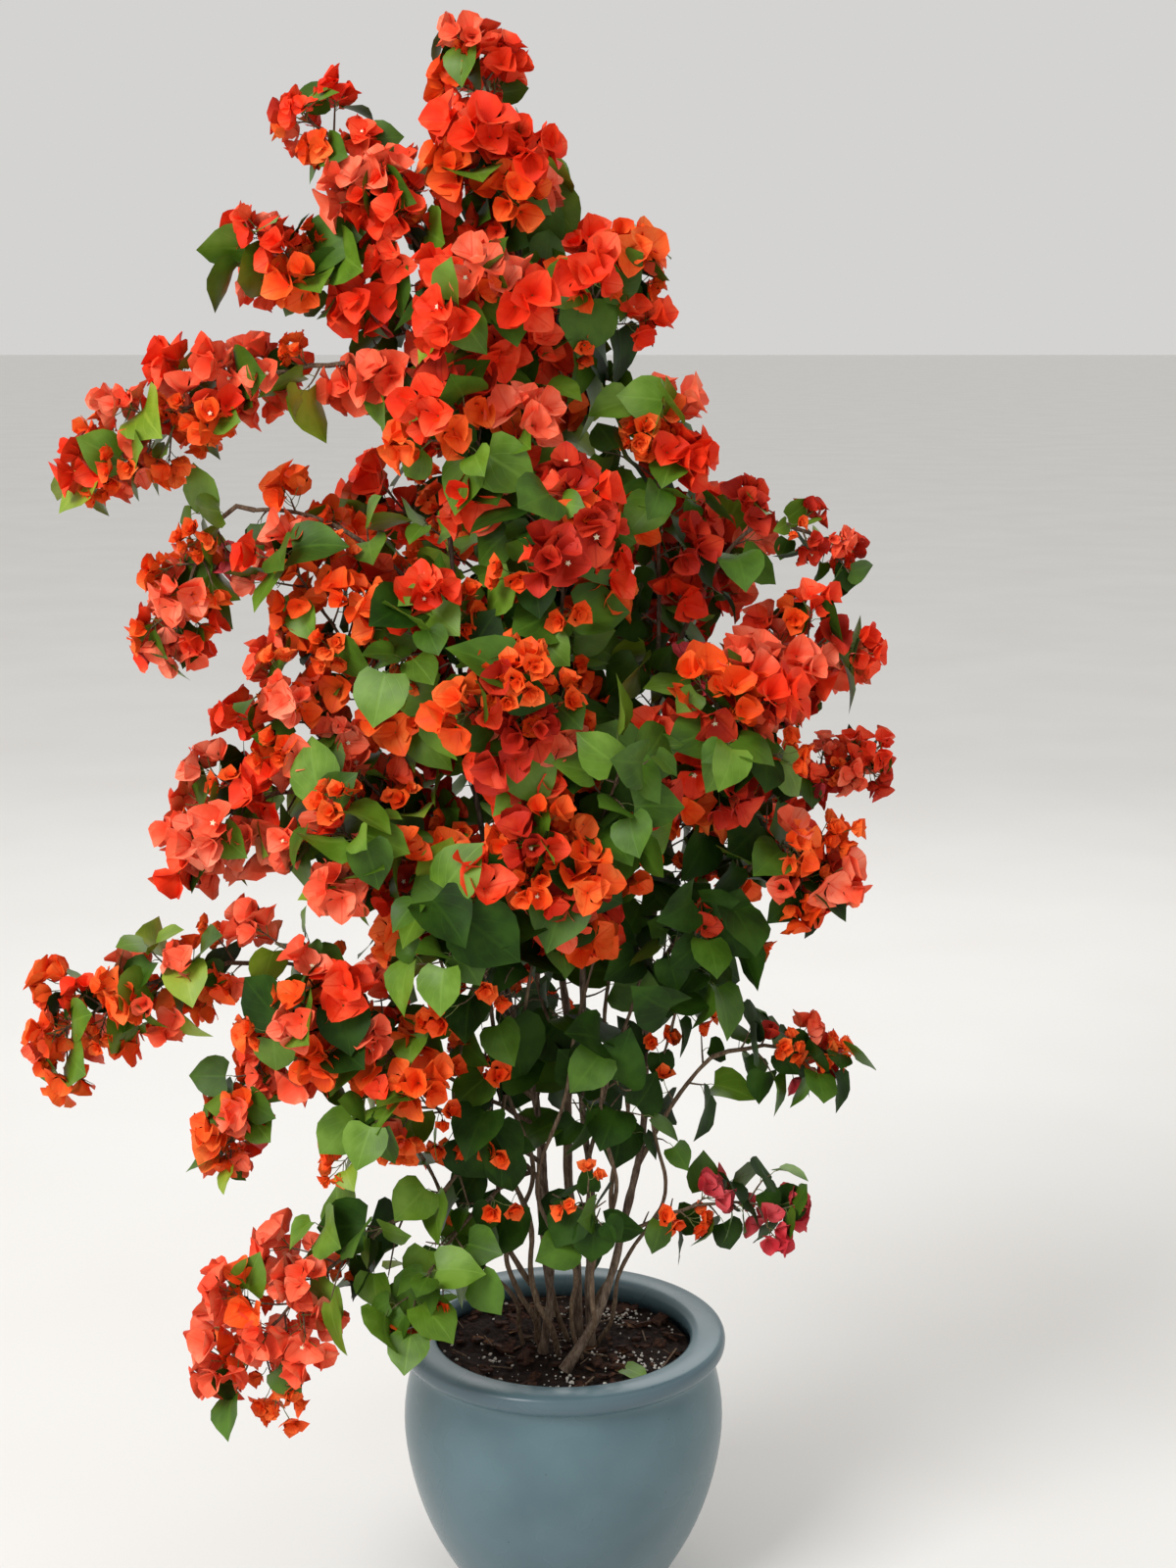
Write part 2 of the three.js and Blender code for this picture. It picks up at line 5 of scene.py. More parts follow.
import bpy
import numpy as np
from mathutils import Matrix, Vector


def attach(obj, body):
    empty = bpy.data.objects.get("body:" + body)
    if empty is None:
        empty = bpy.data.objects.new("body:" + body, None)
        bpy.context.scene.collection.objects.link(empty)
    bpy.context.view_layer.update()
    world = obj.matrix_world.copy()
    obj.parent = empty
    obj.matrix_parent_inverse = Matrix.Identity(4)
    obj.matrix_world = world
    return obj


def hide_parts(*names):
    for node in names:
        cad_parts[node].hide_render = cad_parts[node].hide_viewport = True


# A bougainvillea bush in a round glazed pot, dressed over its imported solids.
# The tables of stems, boughs and masses, and the rule that a mass grows by, are those of the
# part's source, in millimetres. Here each mass goes on to finer twigs, leaves and bracts.

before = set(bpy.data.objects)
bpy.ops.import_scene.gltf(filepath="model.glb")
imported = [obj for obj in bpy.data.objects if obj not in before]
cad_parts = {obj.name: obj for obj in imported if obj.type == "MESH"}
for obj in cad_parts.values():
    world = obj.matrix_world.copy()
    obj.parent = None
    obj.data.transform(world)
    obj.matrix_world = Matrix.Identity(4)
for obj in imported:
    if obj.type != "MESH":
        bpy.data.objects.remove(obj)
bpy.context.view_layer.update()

MM = 0.001
UP = Vector((0, 0, 1))
SOIL_TOP = 335

# The camera stands at eye height, tipped down as far as the photo's upright lines show.
CAMERA_AT = (0.032, -2.856, 1.637)
CAMERA_TIP = math.radians(11.1)
CAMERA_LENS = 54

STEMS = [
    ("stem_leader", 8, [(18, 30, 335.3), (8, 25, 640), (-14, 10, 1050), (-42, 0, 1450), (-50, 0, 1800)]),
    ("stem_left", 7, [
        (-26, -22, 335.3), (-14, -30, 520), (-62, -40, 800), (-110, -40, 1100), (-135, -30, 1400),
    ]),
    ("stem_right", 7.5, [(2, -78, 335.3), (62, -52, 440), (94, -42, 620), (112, -30, 900), (118, -20, 1330)]),
    ("stem_back", 6.5, [(-14, 92, 335.3), (-38, 96, 620), (-22, 112, 920), (6, 112, 1200), (6, 80, 1500)]),
    ("stem_front", 6.5, [(36, 2, 335.3), (30, -30, 620), (20, -80, 900), (0, -95, 1180), (-14, -80, 1420)]),
]
STEM_STEPS = 14
STEM_TIP_RADIUS = 3.6
FLARE = 0.5
FLARE_HEIGHT = 28
WOBBLE = 7
WOBBLE_LENGTH = 330
WOBBLE_START = 0.17

# Boughs: the limb and height each leaves from, where it ends, and how much it arches.
BOUGHS = [
    ("bough_left_top", "stem_leader", 1455, (-228, -65, 1590), 18),
    ("bough_left_cane", "stem_left", 1260, (-360, -75, 1420), 45),
    ("bough_left_middle", "stem_left", 930, (-270, -110, 1090), 20),
    ("bough_left_low", "stem_left", 680, (-330, -135, 885), 30),
    ("bough_foot_left", "stem_left", 560, (-150, -150, 590), 55),
    ("bough_right_cane", "stem_right", 1180, (235, -45, 1400), 40),
    ("bough_right_middle", "stem_right", 820, (225, -80, 985), 25),
    ("bough_right_low", "stem_right", 590, (185, -65, 745), 15),
    ("bough_back_right", "stem_back", 880, (190, 110, 1060), 25),
]
BOUGH_RADIUS = 4.6
BOUGH_TIP_RADIUS = 3.4

# Masses: the limb and height each leaves from, where its spine ends, how much that spine arches,
# the girth of its space, its share of blooms, and the size of its blades beside the usual.
TIP = None
MASSES = [
    ("tip_spray", "stem_leader", TIP, (-100, -5, 1946), 0, 62, 0.8, 0.8),
    ("top_bloom", "stem_leader", 1700, (-78, -70, 1830), 0, 112, 0.9, 1),
    ("top_left_spray", "stem_leader", 1610, (-285, -40, 1862), 25, 55, 0.75, 0.8),
    ("top_left_bloom", "stem_leader", 1560, (-195, -70, 1765), 0, 82, 0.85, 1),
    ("high_left_spray", "stem_leader", 1480, (-325, -60, 1715), 30, 70, 0.6, 1),
    ("upper_front", "stem_leader", 1500, (-100, -140, 1665), 0, 92, 0.75, 1),
    ("upper_right", "stem_leader", 1520, (58, -60, 1692), 0, 90, 0.8, 1),
    ("upper_back", "stem_back", TIP, (-30, 95, 1680), 0, 112, 0.55, 1),
    ("left_top_spray", "bough_left_top", TIP, (-524, -80, 1480), 30, 66, 0.85, 0.95),
    ("left_cane_spray", "bough_left_cane", TIP, (-455, -80, 1285), 50, 55, 0.9, 0.85),
    ("middle_front_high", "stem_front", 1380, (-105, -165, 1520), 0, 84, 0.5, 1),
    ("middle_right_high", "stem_right", TIP, (112, -80, 1505), 0, 90, 0.55, 1),
    ("middle_band", "stem_front", 1240, (8, -185, 1415), 0, 98, 0.6, 1),
    ("right_cane_spray", "bough_right_cane", TIP, (330, -40, 1362), 15, 42, 0.6, 0.55),
    ("left_wall_high", "stem_left", 1090, (-305, -110, 1345), -20, 96, 0.9, 1),
    ("left_wall_low", "stem_left", 960, (-320, -125, 1195), -10, 92, 0.9, 1),
    ("inner_left_high", "stem_left", 1120, (-165, -170, 1300), 0, 92, 0.2, 1),
    ("right_wall_high", "stem_right", 1080, (305, -60, 1255), 20, 84, 0.7, 1),
    ("right_wall_low", "stem_right", 980, (205, -150, 1190), 0, 96, 0.75, 1),
    ("centre_bloom", "stem_front", 1040, (-52, -255, 1225), 0, 86, 0.95, 1),
    ("centre_leaves", "stem_front", 960, (66, -225, 1130), 0, 86, 0.05, 1),
    ("far_right_spray", "stem_right", 930, (375, -10, 1115), 35, 42, 0.6, 0.6),
    ("left_cluster", "bough_left_middle", TIP, (-420, -120, 1050), 15, 90, 0.85, 1),
    ("inner_left", "stem_left", 850, (-250, -205, 1060), 0, 92, 0.5, 1),
    ("right_cluster", "bough_right_middle", TIP, (300, -85, 1000), 25, 92, 0.85, 1),
    ("centre_low_bloom", "stem_front", 870, (-18, -240, 1045), 0, 78, 0.9, 1),
    ("heart_leaves", "stem_left", 770, (-120, -255, 965), 0, 92, 0.05, 1.1),
    ("right_leaves", "stem_right", 760, (165, -130, 930), 0, 92, 0.15, 1),
    ("left_tip_spray", "bough_left_low", TIP, (-604, -140, 797), 28, 66, 0.85, 0.85),
    ("left_low_bloom", "stem_left", 640, (-285, -200, 830), 10, 108, 0.75, 1),
    ("left_low_inner", "stem_left", 590, (-195, -200, 730), 20, 86, 0.4, 1),
    ("left_hanging_spray", "bough_left_low", 860, (-400, -140, 665), 60, 48, 0.9, 0.75),
    ("centre_low_leaves", "stem_front", 600, (62, -130, 760), 0, 88, 0.05, 1),
    ("right_low_spray", "bough_right_low", TIP, (315, -62, 748), 12, 56, 0.3, 0.8),
    ("foot_left_leaves", "bough_foot_left", 588, (-172, -215, 500), 26, 78, 0.1, 1),
    ("foot_left_bloom", "bough_foot_left", TIP, (-366, -232, 438), 24, 98, 0.9, 1),
    ("foot_right_spray", "stem_right", 500, (255, -62, 550), 20, 60, 0.35, 0.8),
    ("foot_leaves", "stem_front", 470, (30, -125, 575), 0, 66, 0.25, 0.8),
    ("back_left_high", "stem_back", 1230, (-200, 150, 1400), 0, 112, 0.6, 1),
    ("back_right_high", "stem_back", 1200, (170, 140, 1350), 0, 112, 0.6, 1),
    ("back_middle", "stem_back", 980, (-30, 226, 1170), 0, 108, 0.6, 1),
    ("back_left_low", "stem_back", 820, (-235, 150, 1000), 0, 108, 0.55, 1),
    ("back_right_low", "bough_back_right", TIP, (245, 150, 1000), 25, 100, 0.6, 1),
    ("back_low", "stem_back", 640, (-20, 220, 800), 0, 104, 0.35, 1),
]

# The growth rule, as in the source, with twigs closer together.
MIDDLE_X = -20
FIRST_TWIG = 0.14
LAST_TWIG = 0.98
TWIG_LEAST = 0.3
TWIG_SPREAD = 0.55
GOLDEN_ANGLE = math.radians(137.5)
TWIG_LEAN = math.radians(58)
END_LEAN = math.radians(30)
END_TWIGS = 3
SPACE_SAMPLES = 9
# Blades here are smaller than the source's, so they go on to where its large ones end.
REACH = 1.4
HALVINGS = 20
TWIG_SPACING = 15
TRIES = 4
SHRINK = 0.8
SPINE_RADIUS = 3.2
SPINE_TIP_RADIUS = 1.6
SPINE_STEP = 22
TWIG_RADIUS = 1.5
TWIG_TIP_RADIUS = 0.8
END_SPREAD = 0.35
SHOOT_FROM = 0.9

# Leaves and blooms at their own size. A bloom is three bracts.
LEAF_LENGTH = 67
LEAF_LEAST = 0.55
LEAF_SPREAD = 0.7
LEAF_STALK = 15
LEAF_STALK_RADII = (0.65, 0.55, 0.5)
LEAF_SPACING = 19
LEAF_ROOM = 36
LEAF_ROOM_LEFT = 30
LEFT_SIDE = -190
BRACT_LENGTH = 33.5
BLOOM_STALK = 22
BLOOM_STALK_RADII = (0.7, 0.55, 0.9)
BLOOM_ROOM = 21.5
TRUE_FLOWERS = 0.1
# How far blades hang, how far they look up, and how far each tilts by lot.
LEAF_HANG = (-0.15, 1.1)
LEAF_LIFT = (0.2, 0.9)
LEAF_TILT = 0.85
BLOOM_LIFT = (-0.15, 0.3)
BLOOM_TILT = 0.3
# The share of leaves left off where a twig blooms.
BARE_BLOOMING = 0.4
BARE_AT_FOOT = 0.9
# Young blooms: their share of sprays and of leafy twigs' ends, their length and room beside the
# usual, and how much larger than that length they are drawn.
YOUNG_SHARE = 0.12
YOUNG_AMONG_LEAVES = 0.16
YOUNG_LENGTH = 0.55
YOUNG_ROOM = 0.6
YOUNG_SWELL = 1.25
# Long shoots that some masses send out: where each ends, and its share of blooms.
SHOOTS = {
    "back_middle": ((-74, 338, 1096), 0),
    "left_low_bloom": ((-358, -165, 935), 1),
    "left_low_inner": ((-262, -205, 655), 1),
}
# Masses that bloom only past this share of their spine.
BLOOMS_FROM = {
    "foot_left_bloom": 0.42,
    "foot_left_leaves": 1,
    "foot_leaves": 1,
    "left_cane_spray": 0.3,
    "left_top_spray": 0.1,
}
# A bare stretch of stalk shows under the tip: one mass ends below a height, the other starts late.
TOPS = {"top_bloom": 1868}
TWIGS_FROM = {"tip_spray": 0.55}
# Low between the stems, leaves are few and no bloom opens.
SHADED_TOP = 900
SHADED_LEFT = -165
SHADED_LEFT_AT_FOOT = -90
FOOT_TOP = 640
SHADED_RIGHT = 175
SHADED_LEAVES = 0.42
# Leaves left of this still take the light.
LIT_LEFT = -104
POT_KEEP_RADIUS = 226
POT_KEEP_HEIGHT = 372
# Blades end within this box round the solids' own.
BOX_LOW = (-645, -366, 345)
BOX_HIGH = (408, 392, 1988)


def deselect_all():
    if bpy.context.object and bpy.context.object.mode != "OBJECT":
        bpy.ops.object.mode_set(mode="OBJECT")
    bpy.ops.object.select_all(action="DESELECT")


def only(piece):
    deselect_all()
    piece.select_set(True)
    bpy.context.view_layer.objects.active = piece


def link_new(name, data):
    """A new object with that data, in the scene."""
    made = bpy.data.objects.new(name, data)
    bpy.context.scene.collection.objects.link(made)
    return made


def apply_modifier(piece, kind, **settings):
    only(piece)
    modifier = piece.modifiers.new(kind.lower(), kind)
    for name, value in settings.items():
        setattr(modifier, name, value)
    bpy.ops.object.modifier_apply(modifier=modifier.name)


def finish_piece(piece, name, finish, nodes):
    piece.name = name
    piece.data.name = name
    piece.data.materials.clear()
    piece.data.materials.append(finish)
    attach(piece, "root")
    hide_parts(*nodes)


def linear(hex_code):
    """An sRGB hex colour as the linear colour that a socket takes."""
    channels = [int(hex_code[at:at + 2], 16) / 255 for at in (1, 3, 5)]
    return [c / 12.92 if c <= 0.04045 else ((c + 0.055) / 1.055) ** 2.4 for c in channels] + [1]


def feed(tree, target, inputs):
    """Links a socket to each input, or sets the input's own value."""
    for name, value in inputs.items():
        if isinstance(value, bpy.types.NodeSocket):
            tree.links.new(value, target.inputs[name])
        else:
            target.inputs[name].default_value = value


def add_node(tree, kind, inputs=None, **settings):
    """Adds a node and gives the first output that it offers with these settings."""
    made = tree.nodes.new("ShaderNode" + kind)
    for name, value in settings.items():
        setattr(made, name, value)
    feed(tree, made, inputs or {})
    return next(socket for socket in made.outputs if socket.enabled)


def new_material(name):
    """A material, its tree, and the object's coordinates in metres."""
    made = bpy.data.materials.new(name)
    made.use_nodes = True
    tree = made.node_tree
    return made, tree, add_node(tree, "TexCoord").node.outputs["Object"]


def finish_shader(tree, inputs):
    feed(tree, tree.nodes["Principled BSDF"], inputs)


def color_ramp(tree, value, stops):
    color = add_node(tree, "ValToRGB", {"Fac": value})
    elements = color.node.color_ramp.elements
    while len(elements) < len(stops):
        elements.new(0.5)
    for element, (at, hex_code) in zip(elements, stops):
        element.position = at
        element.color = linear(hex_code)
    return color


def per_metre(size_mm):
    """The scale of a pattern whose grains are that many millimetres across."""
    return 1 / (size_mm * MM)


# Sizes in the patterns of the materials, in millimetres.
GLAZE_CLOUDS = 95
GLAZE_RIPPLES = 18
GLAZE_SPECKS = 26
BLADE_MOTTLE = 45
# How far the bark's pattern is stretched along the stem.
BARK_STRETCH = (1, 1, 0.22)
SPECULAR = "Specular IOR Level"


def glazed_stoneware():
    """Wheel-thrown stoneware under a fired glaze: a wet gloss over soft blue-grey clouds."""
    made, tree, place = new_material("glazed_stoneware")
    clouds = add_node(tree, "TexNoise", {"Vector": place, "Scale": per_metre(GLAZE_CLOUDS), "Detail": 2.5})
    color = color_ramp(tree, clouds, [(0.28, "#526a72"), (0.5, "#587178"), (0.74, "#5d767e")])
    axes = add_node(tree, "SeparateXYZ", {"Vector": place}).node.outputs
    height = axes["Z"]
    foot = add_node(tree, "MapRange", {"Value": height, "From Min": 0.26, "From Max": 0.02, "To Max": 0.55})
    flat = add_node(tree, "CombineXYZ", {"X": axes["X"], "Y": axes["Y"]})
    radius = add_node(tree, "VectorMath", {0: flat}, operation="LENGTH")
    # The rim's outer band: its glaze is darkened here as painted shade.
    outside = add_node(tree, "MapRange", {"Value": radius, "From Min": 0.2025, "From Max": 0.2085})
    above_neck = add_node(tree, "MapRange", {"Value": height, "From Min": 0.328, "From Max": 0.336})
    rim_painted_shade = add_node(tree, "Math", {0: outside, 1: above_neck}, operation="MULTIPLY")
    half = add_node(tree, "Math", {0: rim_painted_shade, 1: 0.5}, operation="MULTIPLY")
    cells = add_node(tree, "TexVoronoi", {"Vector": place, "Scale": per_metre(GLAZE_SPECKS)})
    speck = add_node(tree, "MapRange", {"Value": cells, "From Min": 0.05, "From Max": 0.02, "To Max": 0.8})
    # The glaze is greyer and darker towards the foot, is darkened to grey on the rim's outer band as painted
    # shade under the rim's top, and is thinly scattered with iron specks about 1.5 mm across.
    for share, tint in ((foot, "#525f66"), (half, "#4f5f69"), (speck, "#2f3433")):
        color = add_node(tree, "Mix", {"Factor": share, "A": color, "B": linear(tint)}, data_type="RGBA")
    gloss = add_node(
        tree, "MapRange", {"Value": clouds, "From Min": 0.3, "From Max": 0.7, "To Min": 0.2, "To Max": 0.32}
    )
    ripple = add_node(tree, "TexNoise", {"Vector": place, "Scale": per_metre(GLAZE_RIPPLES), "Detail": 2.0})
    bump = add_node(tree, "Bump", {"Height": ripple, "Strength": 0.1, "Distance": 0.6 * MM})
    finish_shader(tree, {"Base Color": color, "Roughness": gloss, "Normal": bump, SPECULAR: 0.36})
    return made


def vine_bark(name, dark, middle, light, grain_mm):
    """Bark of a woody vine: matt, streaked along the stem, with paler corky flecks."""
    made, tree, place = new_material(name)
    along = add_node(tree, "Mapping", {"Vector": place, "Scale": BARK_STRETCH})
    streaks = add_node(
        tree, "TexNoise", {"Vector": along, "Scale": per_metre(grain_mm), "Detail": 5.0, "Roughness": 0.65}
    )
    color = color_ramp(tree, streaks, [(0.32, dark), (0.5, middle), (0.68, light)])
    cork = add_node(tree, "TexVoronoi", {"Vector": place, "Scale": per_metre(3 * grain_mm)})
    fleck = add_node(tree, "MapRange", {"Value": cork, "From Min": 0.2, "From Max": 0.1, "To Max": 0.5})
    flecked = add_node(tree, "Mix", {"Factor": fleck, "A": color, "B": linear(light)}, data_type="RGBA")
    bump = add_node(tree, "Bump", {"Height": streaks, "Strength": 0.8, "Distance": 1.2 * MM})
    finish_shader(tree, {"Base Color": flecked, "Roughness": 0.82, "Normal": bump, SPECULAR: 0.3})
    return made


def veins(tree, count, slant):
    """A mask of the midrib and its side veins, on the blade's own map: u across and v along."""
    chart = add_node(tree, "UVMap", uv_map="blade")
    axes = add_node(tree, "SeparateXYZ", {"Vector": chart}).node.outputs
    off_middle = add_node(tree, "Math", {0: axes["X"], 1: 0.5}, operation="SUBTRACT")
    aside = add_node(tree, "Math", {0: off_middle}, operation="ABSOLUTE")
    midrib = add_node(tree, "MapRange", {"Value": aside, "From Min": 0.045, "From Max": 0.015})
    back = add_node(tree, "Math", {0: aside, 1: slant}, operation="MULTIPLY")
    phase = add_node(tree, "Math", {0: axes["Y"], 1: back}, operation="SUBTRACT")
    turns = add_node(tree, "Math", {0: phase, 1: float(count)}, operation="MULTIPLY")
    saw = add_node(tree, "Math", {0: turns, 1: 1.0}, operation="PINGPONG")
    side = add_node(tree, "MapRange", {"Value": saw, "From Min": 0.12, "From Max": 0.02, "To Max": 0.7})
    return add_node(tree, "Math", {0: midrib, 1: side}, operation="MAXIMUM")


def living_blade(name, dark, middle, light, vein, count, slant, roughness, vein_share, gloss):
    """Living leaf or bract tissue: soft mottling from blade to blade, and a net of veins."""
    made, tree, place = new_material(name)
    mottle = add_node(tree, "TexNoise", {"Vector": place, "Scale": per_metre(BLADE_MOTTLE), "Detail": 3.0})
    color = color_ramp(tree, mottle, [(0.34, dark), (0.5, middle), (0.66, light)])
    mask = veins(tree, count, slant)
    share = add_node(tree, "Math", {0: mask, 1: vein_share}, operation="MULTIPLY")
    veined = add_node(tree, "Mix", {"Factor": share, "A": color, "B": linear(vein)}, data_type="RGBA")
    bump = add_node(tree, "Bump", {"Height": mask, "Strength": 0.35, "Distance": 0.3 * MM}, invert=True)
    finish_shader(tree, {"Base Color": veined, "Roughness": roughness, "Normal": bump, SPECULAR: gloss})
    return made


def crumbly(name, dark, middle, light, grain_mm, roughness=0.95):
    """Loose natural matter, such as peat, bark or perlite: matt, and mottled grain by grain."""
    made, tree, place = new_material(name)
    grains = add_node(
        tree, "TexNoise", {"Vector": place, "Scale": per_metre(grain_mm), "Detail": 6.0, "Roughness": 0.7}
    )
    color = color_ramp(tree, grains, [(0.36, dark), (0.5, middle), (0.64, light)])
    bump = add_node(tree, "Bump", {"Height": grains, "Strength": 1.0, "Distance": 1.5 * MM})
    finish_shader(tree, {"Base Color": color, "Roughness": roughness, "Normal": bump, SPECULAR: 0.25})
    return made


def steps_from(low, high, count):
    return [low + (high - low) * order / (count - 1) for order in range(count)]


def between(low, high, share):
    return low + (high - low) * share


class Line:
    """A run of points that is read by its share of length."""

    def __init__(self, points):
        self.points = np.array(points, float)
        steps = np.linalg.norm(np.diff(self.points, axis=0), axis=1)
        run = np.concatenate([[0], np.cumsum(steps)])
        self.length = float(run[-1])
        self.shares = run / run[-1]

    def at(self, share):
        return Vector([np.interp(share, self.shares, self.points[:, axis]) for axis in range(3)])

    def tangent(self, share):
        return (self.at(min(1, share + 0.01)) - self.at(max(0, share - 0.01))).normalized()


def centripetal(points, steps=20):
    """A smooth line through the points."""
    points = [np.array(point, float) for point in points]
    points = [2 * points[0] - points[1], *points, 2 * points[-1] - points[-2]]
    line = []
    for a, b, c, d in zip(points, points[1:], points[2:], points[3:]):
        before, span, after = (math.sqrt(np.linalg.norm(q - p)) for p, q in ((a, b), (b, c), (c, d)))
        out = ((b - a) / before - (c - a) / (before + span) + (c - b) / span) * span
        into = ((c - b) / span - (d - b) / (span + after) + (d - c) / after) * span
        square = 3 * (c - b) - 2 * out - into
        cube = 2 * (b - c) + out + into
        line += [b + out * t + square * t**2 + cube * t**3 for t in np.arange(steps) / steps]
    line.append(points[-2])
    return line


def arched(start, end, arch, steps=40):
    middle = (start + end) / 2 + 2 * arch * UP
    return Line(
        [start * (1 - t) ** 2 + middle * 2 * t * (1 - t) + end * t**2 for t in steps_from(0, 1, steps)]
    )


def point_at_height(line, height):
    low, high = 0.0, 1.0
    for _ in range(HALVINGS):
        share = (low + high) / 2
        if line.at(share).z < height:
            low = share
        else:
            high = share
    return line.at(low)


def stem_line(points, index, wobble=WOBBLE, wobble_length=WOBBLE_LENGTH):
    straight = Line(centripetal(points))
    swayed = []
    for share in steps_from(0, 1, STEM_STEPS + 1):
        point = straight.at(share)
        phase = 2 * math.pi * (point.z - SOIL_TOP) / wobble_length + index
        sway = wobble * min(1, share / WOBBLE_START) * (1 - share)
        swayed.append(point + sway * Vector((math.sin(phase), math.cos(phase), 0)))
    return Line(centripetal(swayed))


def stem_radius(radius, height, share):
    return between(radius, STEM_TIP_RADIUS, share) * (1 + FLARE * math.exp(-height / FLARE_HEIGHT))


# Thin canes that twine up from the mix through the open middle, and the radius of each at its foot.
CANES = [
    (4.2, [(-34, 14, 332), (-52, -22, 450), (-88, -66, 600), (-118, -100, 760), (-150, -120, 900)]),
    (3.8, [(-30, -4, 332), (-58, -44, 470), (-46, -70, 640), (-92, -84, 820), (-70, -70, 1020)]),
    (4.0, [(-6, -26, 332), (-30, -62, 460), (-66, -92, 610), (-58, -96, 760), (-12, -104, 960)]),
    (3.6, [(6, 18, 332), (-14, -18, 480), (14, -46, 640), (-24, -60, 820), (-36, -50, 1100)]),
    (3.4, [(24, -34, 332), (8, -70, 450), (-22, -96, 580), (6, -112, 740), (44, -110, 900)]),
    (3.8, [(30, 34, 332), (62, 6, 470), (76, -28, 640), (58, -60, 800), (80, -50, 1040)]),
    (3.2, [(-52, 4, 332), (-84, -40, 440), (-132, -90, 540), (-176, -128, 640), (-230, -150, 760)]),
    (3.4, [(12, -52, 332), (40, -84, 430), (60, -96, 560), (52, -110, 700), (96, -104, 860)]),
    (3.0, [(44, 10, 332), (84, -22, 440), (120, -50, 560), (118, -64, 700), (150, -76, 860)]),
]
CANE_TIP_RADIUS = 1.8
CANE_WOBBLE = 17
CANE_WOBBLE_LENGTH = 235

LIMBS = {name: stem_line(points, index) for index, (name, _, points) in enumerate(STEMS)}


def start_on(carrier, leaves):
    line = LIMBS[carrier]
    return line.at(1) if leaves is None else point_at_height(line, leaves)


for name, carrier, leaves, to, arch in BOUGHS:
    LIMBS[name] = arched(start_on(carrier, leaves), Vector(to), arch)


# How far each kind of blade folds, cups, droops and waves, and where its waves begin.
WAVES_BEGIN = (0, 6)
LEAF_FORM = [(0.05, 0.3), (-0.04, 0.1), (0.08, 0.4), (0.015, 0.045), WAVES_BEGIN]
BRACT_FORM = [(0, 0.15), (0.12, 0.3), (0, 0.32), (0.035, 0.085), WAVES_BEGIN]
LEAF_THICKNESS = 0.007
BRACT_THICKNESS = 0.011
# Each row of a blade is its place along, its half width, and how far its sides are set back.
LEAF_ROWS = [
    (0, 0.1, 0.02), (0.05, 0.36, 0.13), (0.16, 0.49, 0.09), (0.33, 0.53, 0.03), (0.52, 0.49, 0),
    (0.7, 0.36, 0), (0.86, 0.16, 0),
]
BRACT_ROWS = [(0, 0.12, 0), (0.15, 0.4, 0.05), (0.42, 0.55, 0.02), (0.7, 0.46, 0), (0.9, 0.22, 0)]
YOUNG_ROWS = [(0, 0.12, 0), (0.28, 0.5, 0.03), (0.72, 0.46, 0)]
ACROSS = np.array([-1, -0.5, 0, 0.5, 1])
RIPPLES = 7
RIPPLE_WIDTH = 0.4


def blade(rng, rows, form, thickness):
    """A closed thin blade one unit long: x across, y along, z up."""
    fold, cup, droop, wave, phase = (rng.uniform(*span) for span in form)
    points, charts, top, under = [], [], [], []

    def add(x, y, lift, u, v):
        points.append((x, y, lift))
        charts.append((u, v))
        return len(points) - 1

    def height(x, y):
        ripple = wave * math.sin(RIPPLES * y + phase + 2 * np.sign(x)) * abs(x) / RIPPLE_WIDTH
        return fold * abs(x) + 4 * cup * x * x - droop * y * y + ripple

    for order, (along, half, back) in enumerate(rows):
        upper, lower = [], []
        for column, c in enumerate(ACROSS):
            x, y = c * half, along - back * abs(c)
            u, v = 0.5 + 0.5 * c, along
            upper.append(add(x, y, height(x, y), u, v))
            on_edge = order == 0 or column in (0, len(ACROSS) - 1)
            lower.append(upper[-1] if on_edge else add(x, y, height(x, y) - thickness, u, v))
        top.append(upper)
        under.append(lower)
    tip = add(0, 1, height(0, 1), 0.5, 1)
    faces = []
    for level in range(len(rows) - 1):
        for c in range(len(ACROSS) - 1):
            for grid, flip in ((top, False), (under, True)):
                a, b = grid[level][c], grid[level][c + 1]
                d, e = grid[level + 1][c], grid[level + 1][c + 1]
                for face in ((a, b, e), (a, e, d)):
                    if len(set(face)) == 3:
                        faces.append(face[::-1] if flip else face)
    for c in range(len(ACROSS) - 1):
        faces.append((top[-1][c], top[-1][c + 1], tip))
        faces.append((tip, under[-1][c + 1], under[-1][c]))
    return np.array(points), np.array(faces), np.array(charts)


def joined(shapes):
    points, faces, charts = zip(*shapes)
    starts = np.cumsum([0] + [len(part) for part in points[:-1]])
    faces = [part + start for part, start in zip(faces, starts)]
    return np.concatenate(points), np.concatenate(faces), np.concatenate(charts)


def bloom_shape(rng, opening, rows=BRACT_ROWS):
    """Three bracts round an axis along z, each leaning out by the opening and curling at its tip."""
    bracts = []
    for order in range(3):
        points, faces, charts = blade(rng, rows, BRACT_FORM, BRACT_THICKNESS)
        turn = 2 * math.pi * order / 3 + rng.uniform(-0.2, 0.2)
        lean = opening + rng.uniform(-0.22, 0.22)
        out = np.array([math.cos(turn), math.sin(turn), 0])
        axis = np.array([0, 0, 1])
        along = math.cos(lean) * axis + math.sin(lean) * out
        inner = math.sin(lean) * axis - math.cos(lean) * out
        side = np.cross(along, inner)
        twist = rng.uniform(0.05, 0.3)
        turned = math.cos(twist) * side + math.sin(twist) * inner
        inner = math.cos(twist) * inner - math.sin(twist) * side
        size = rng.uniform(0.88, 1.08)
        bracts.append((points @ np.array([turned, along, inner]) * size, faces, charts))
    return joined(bracts)


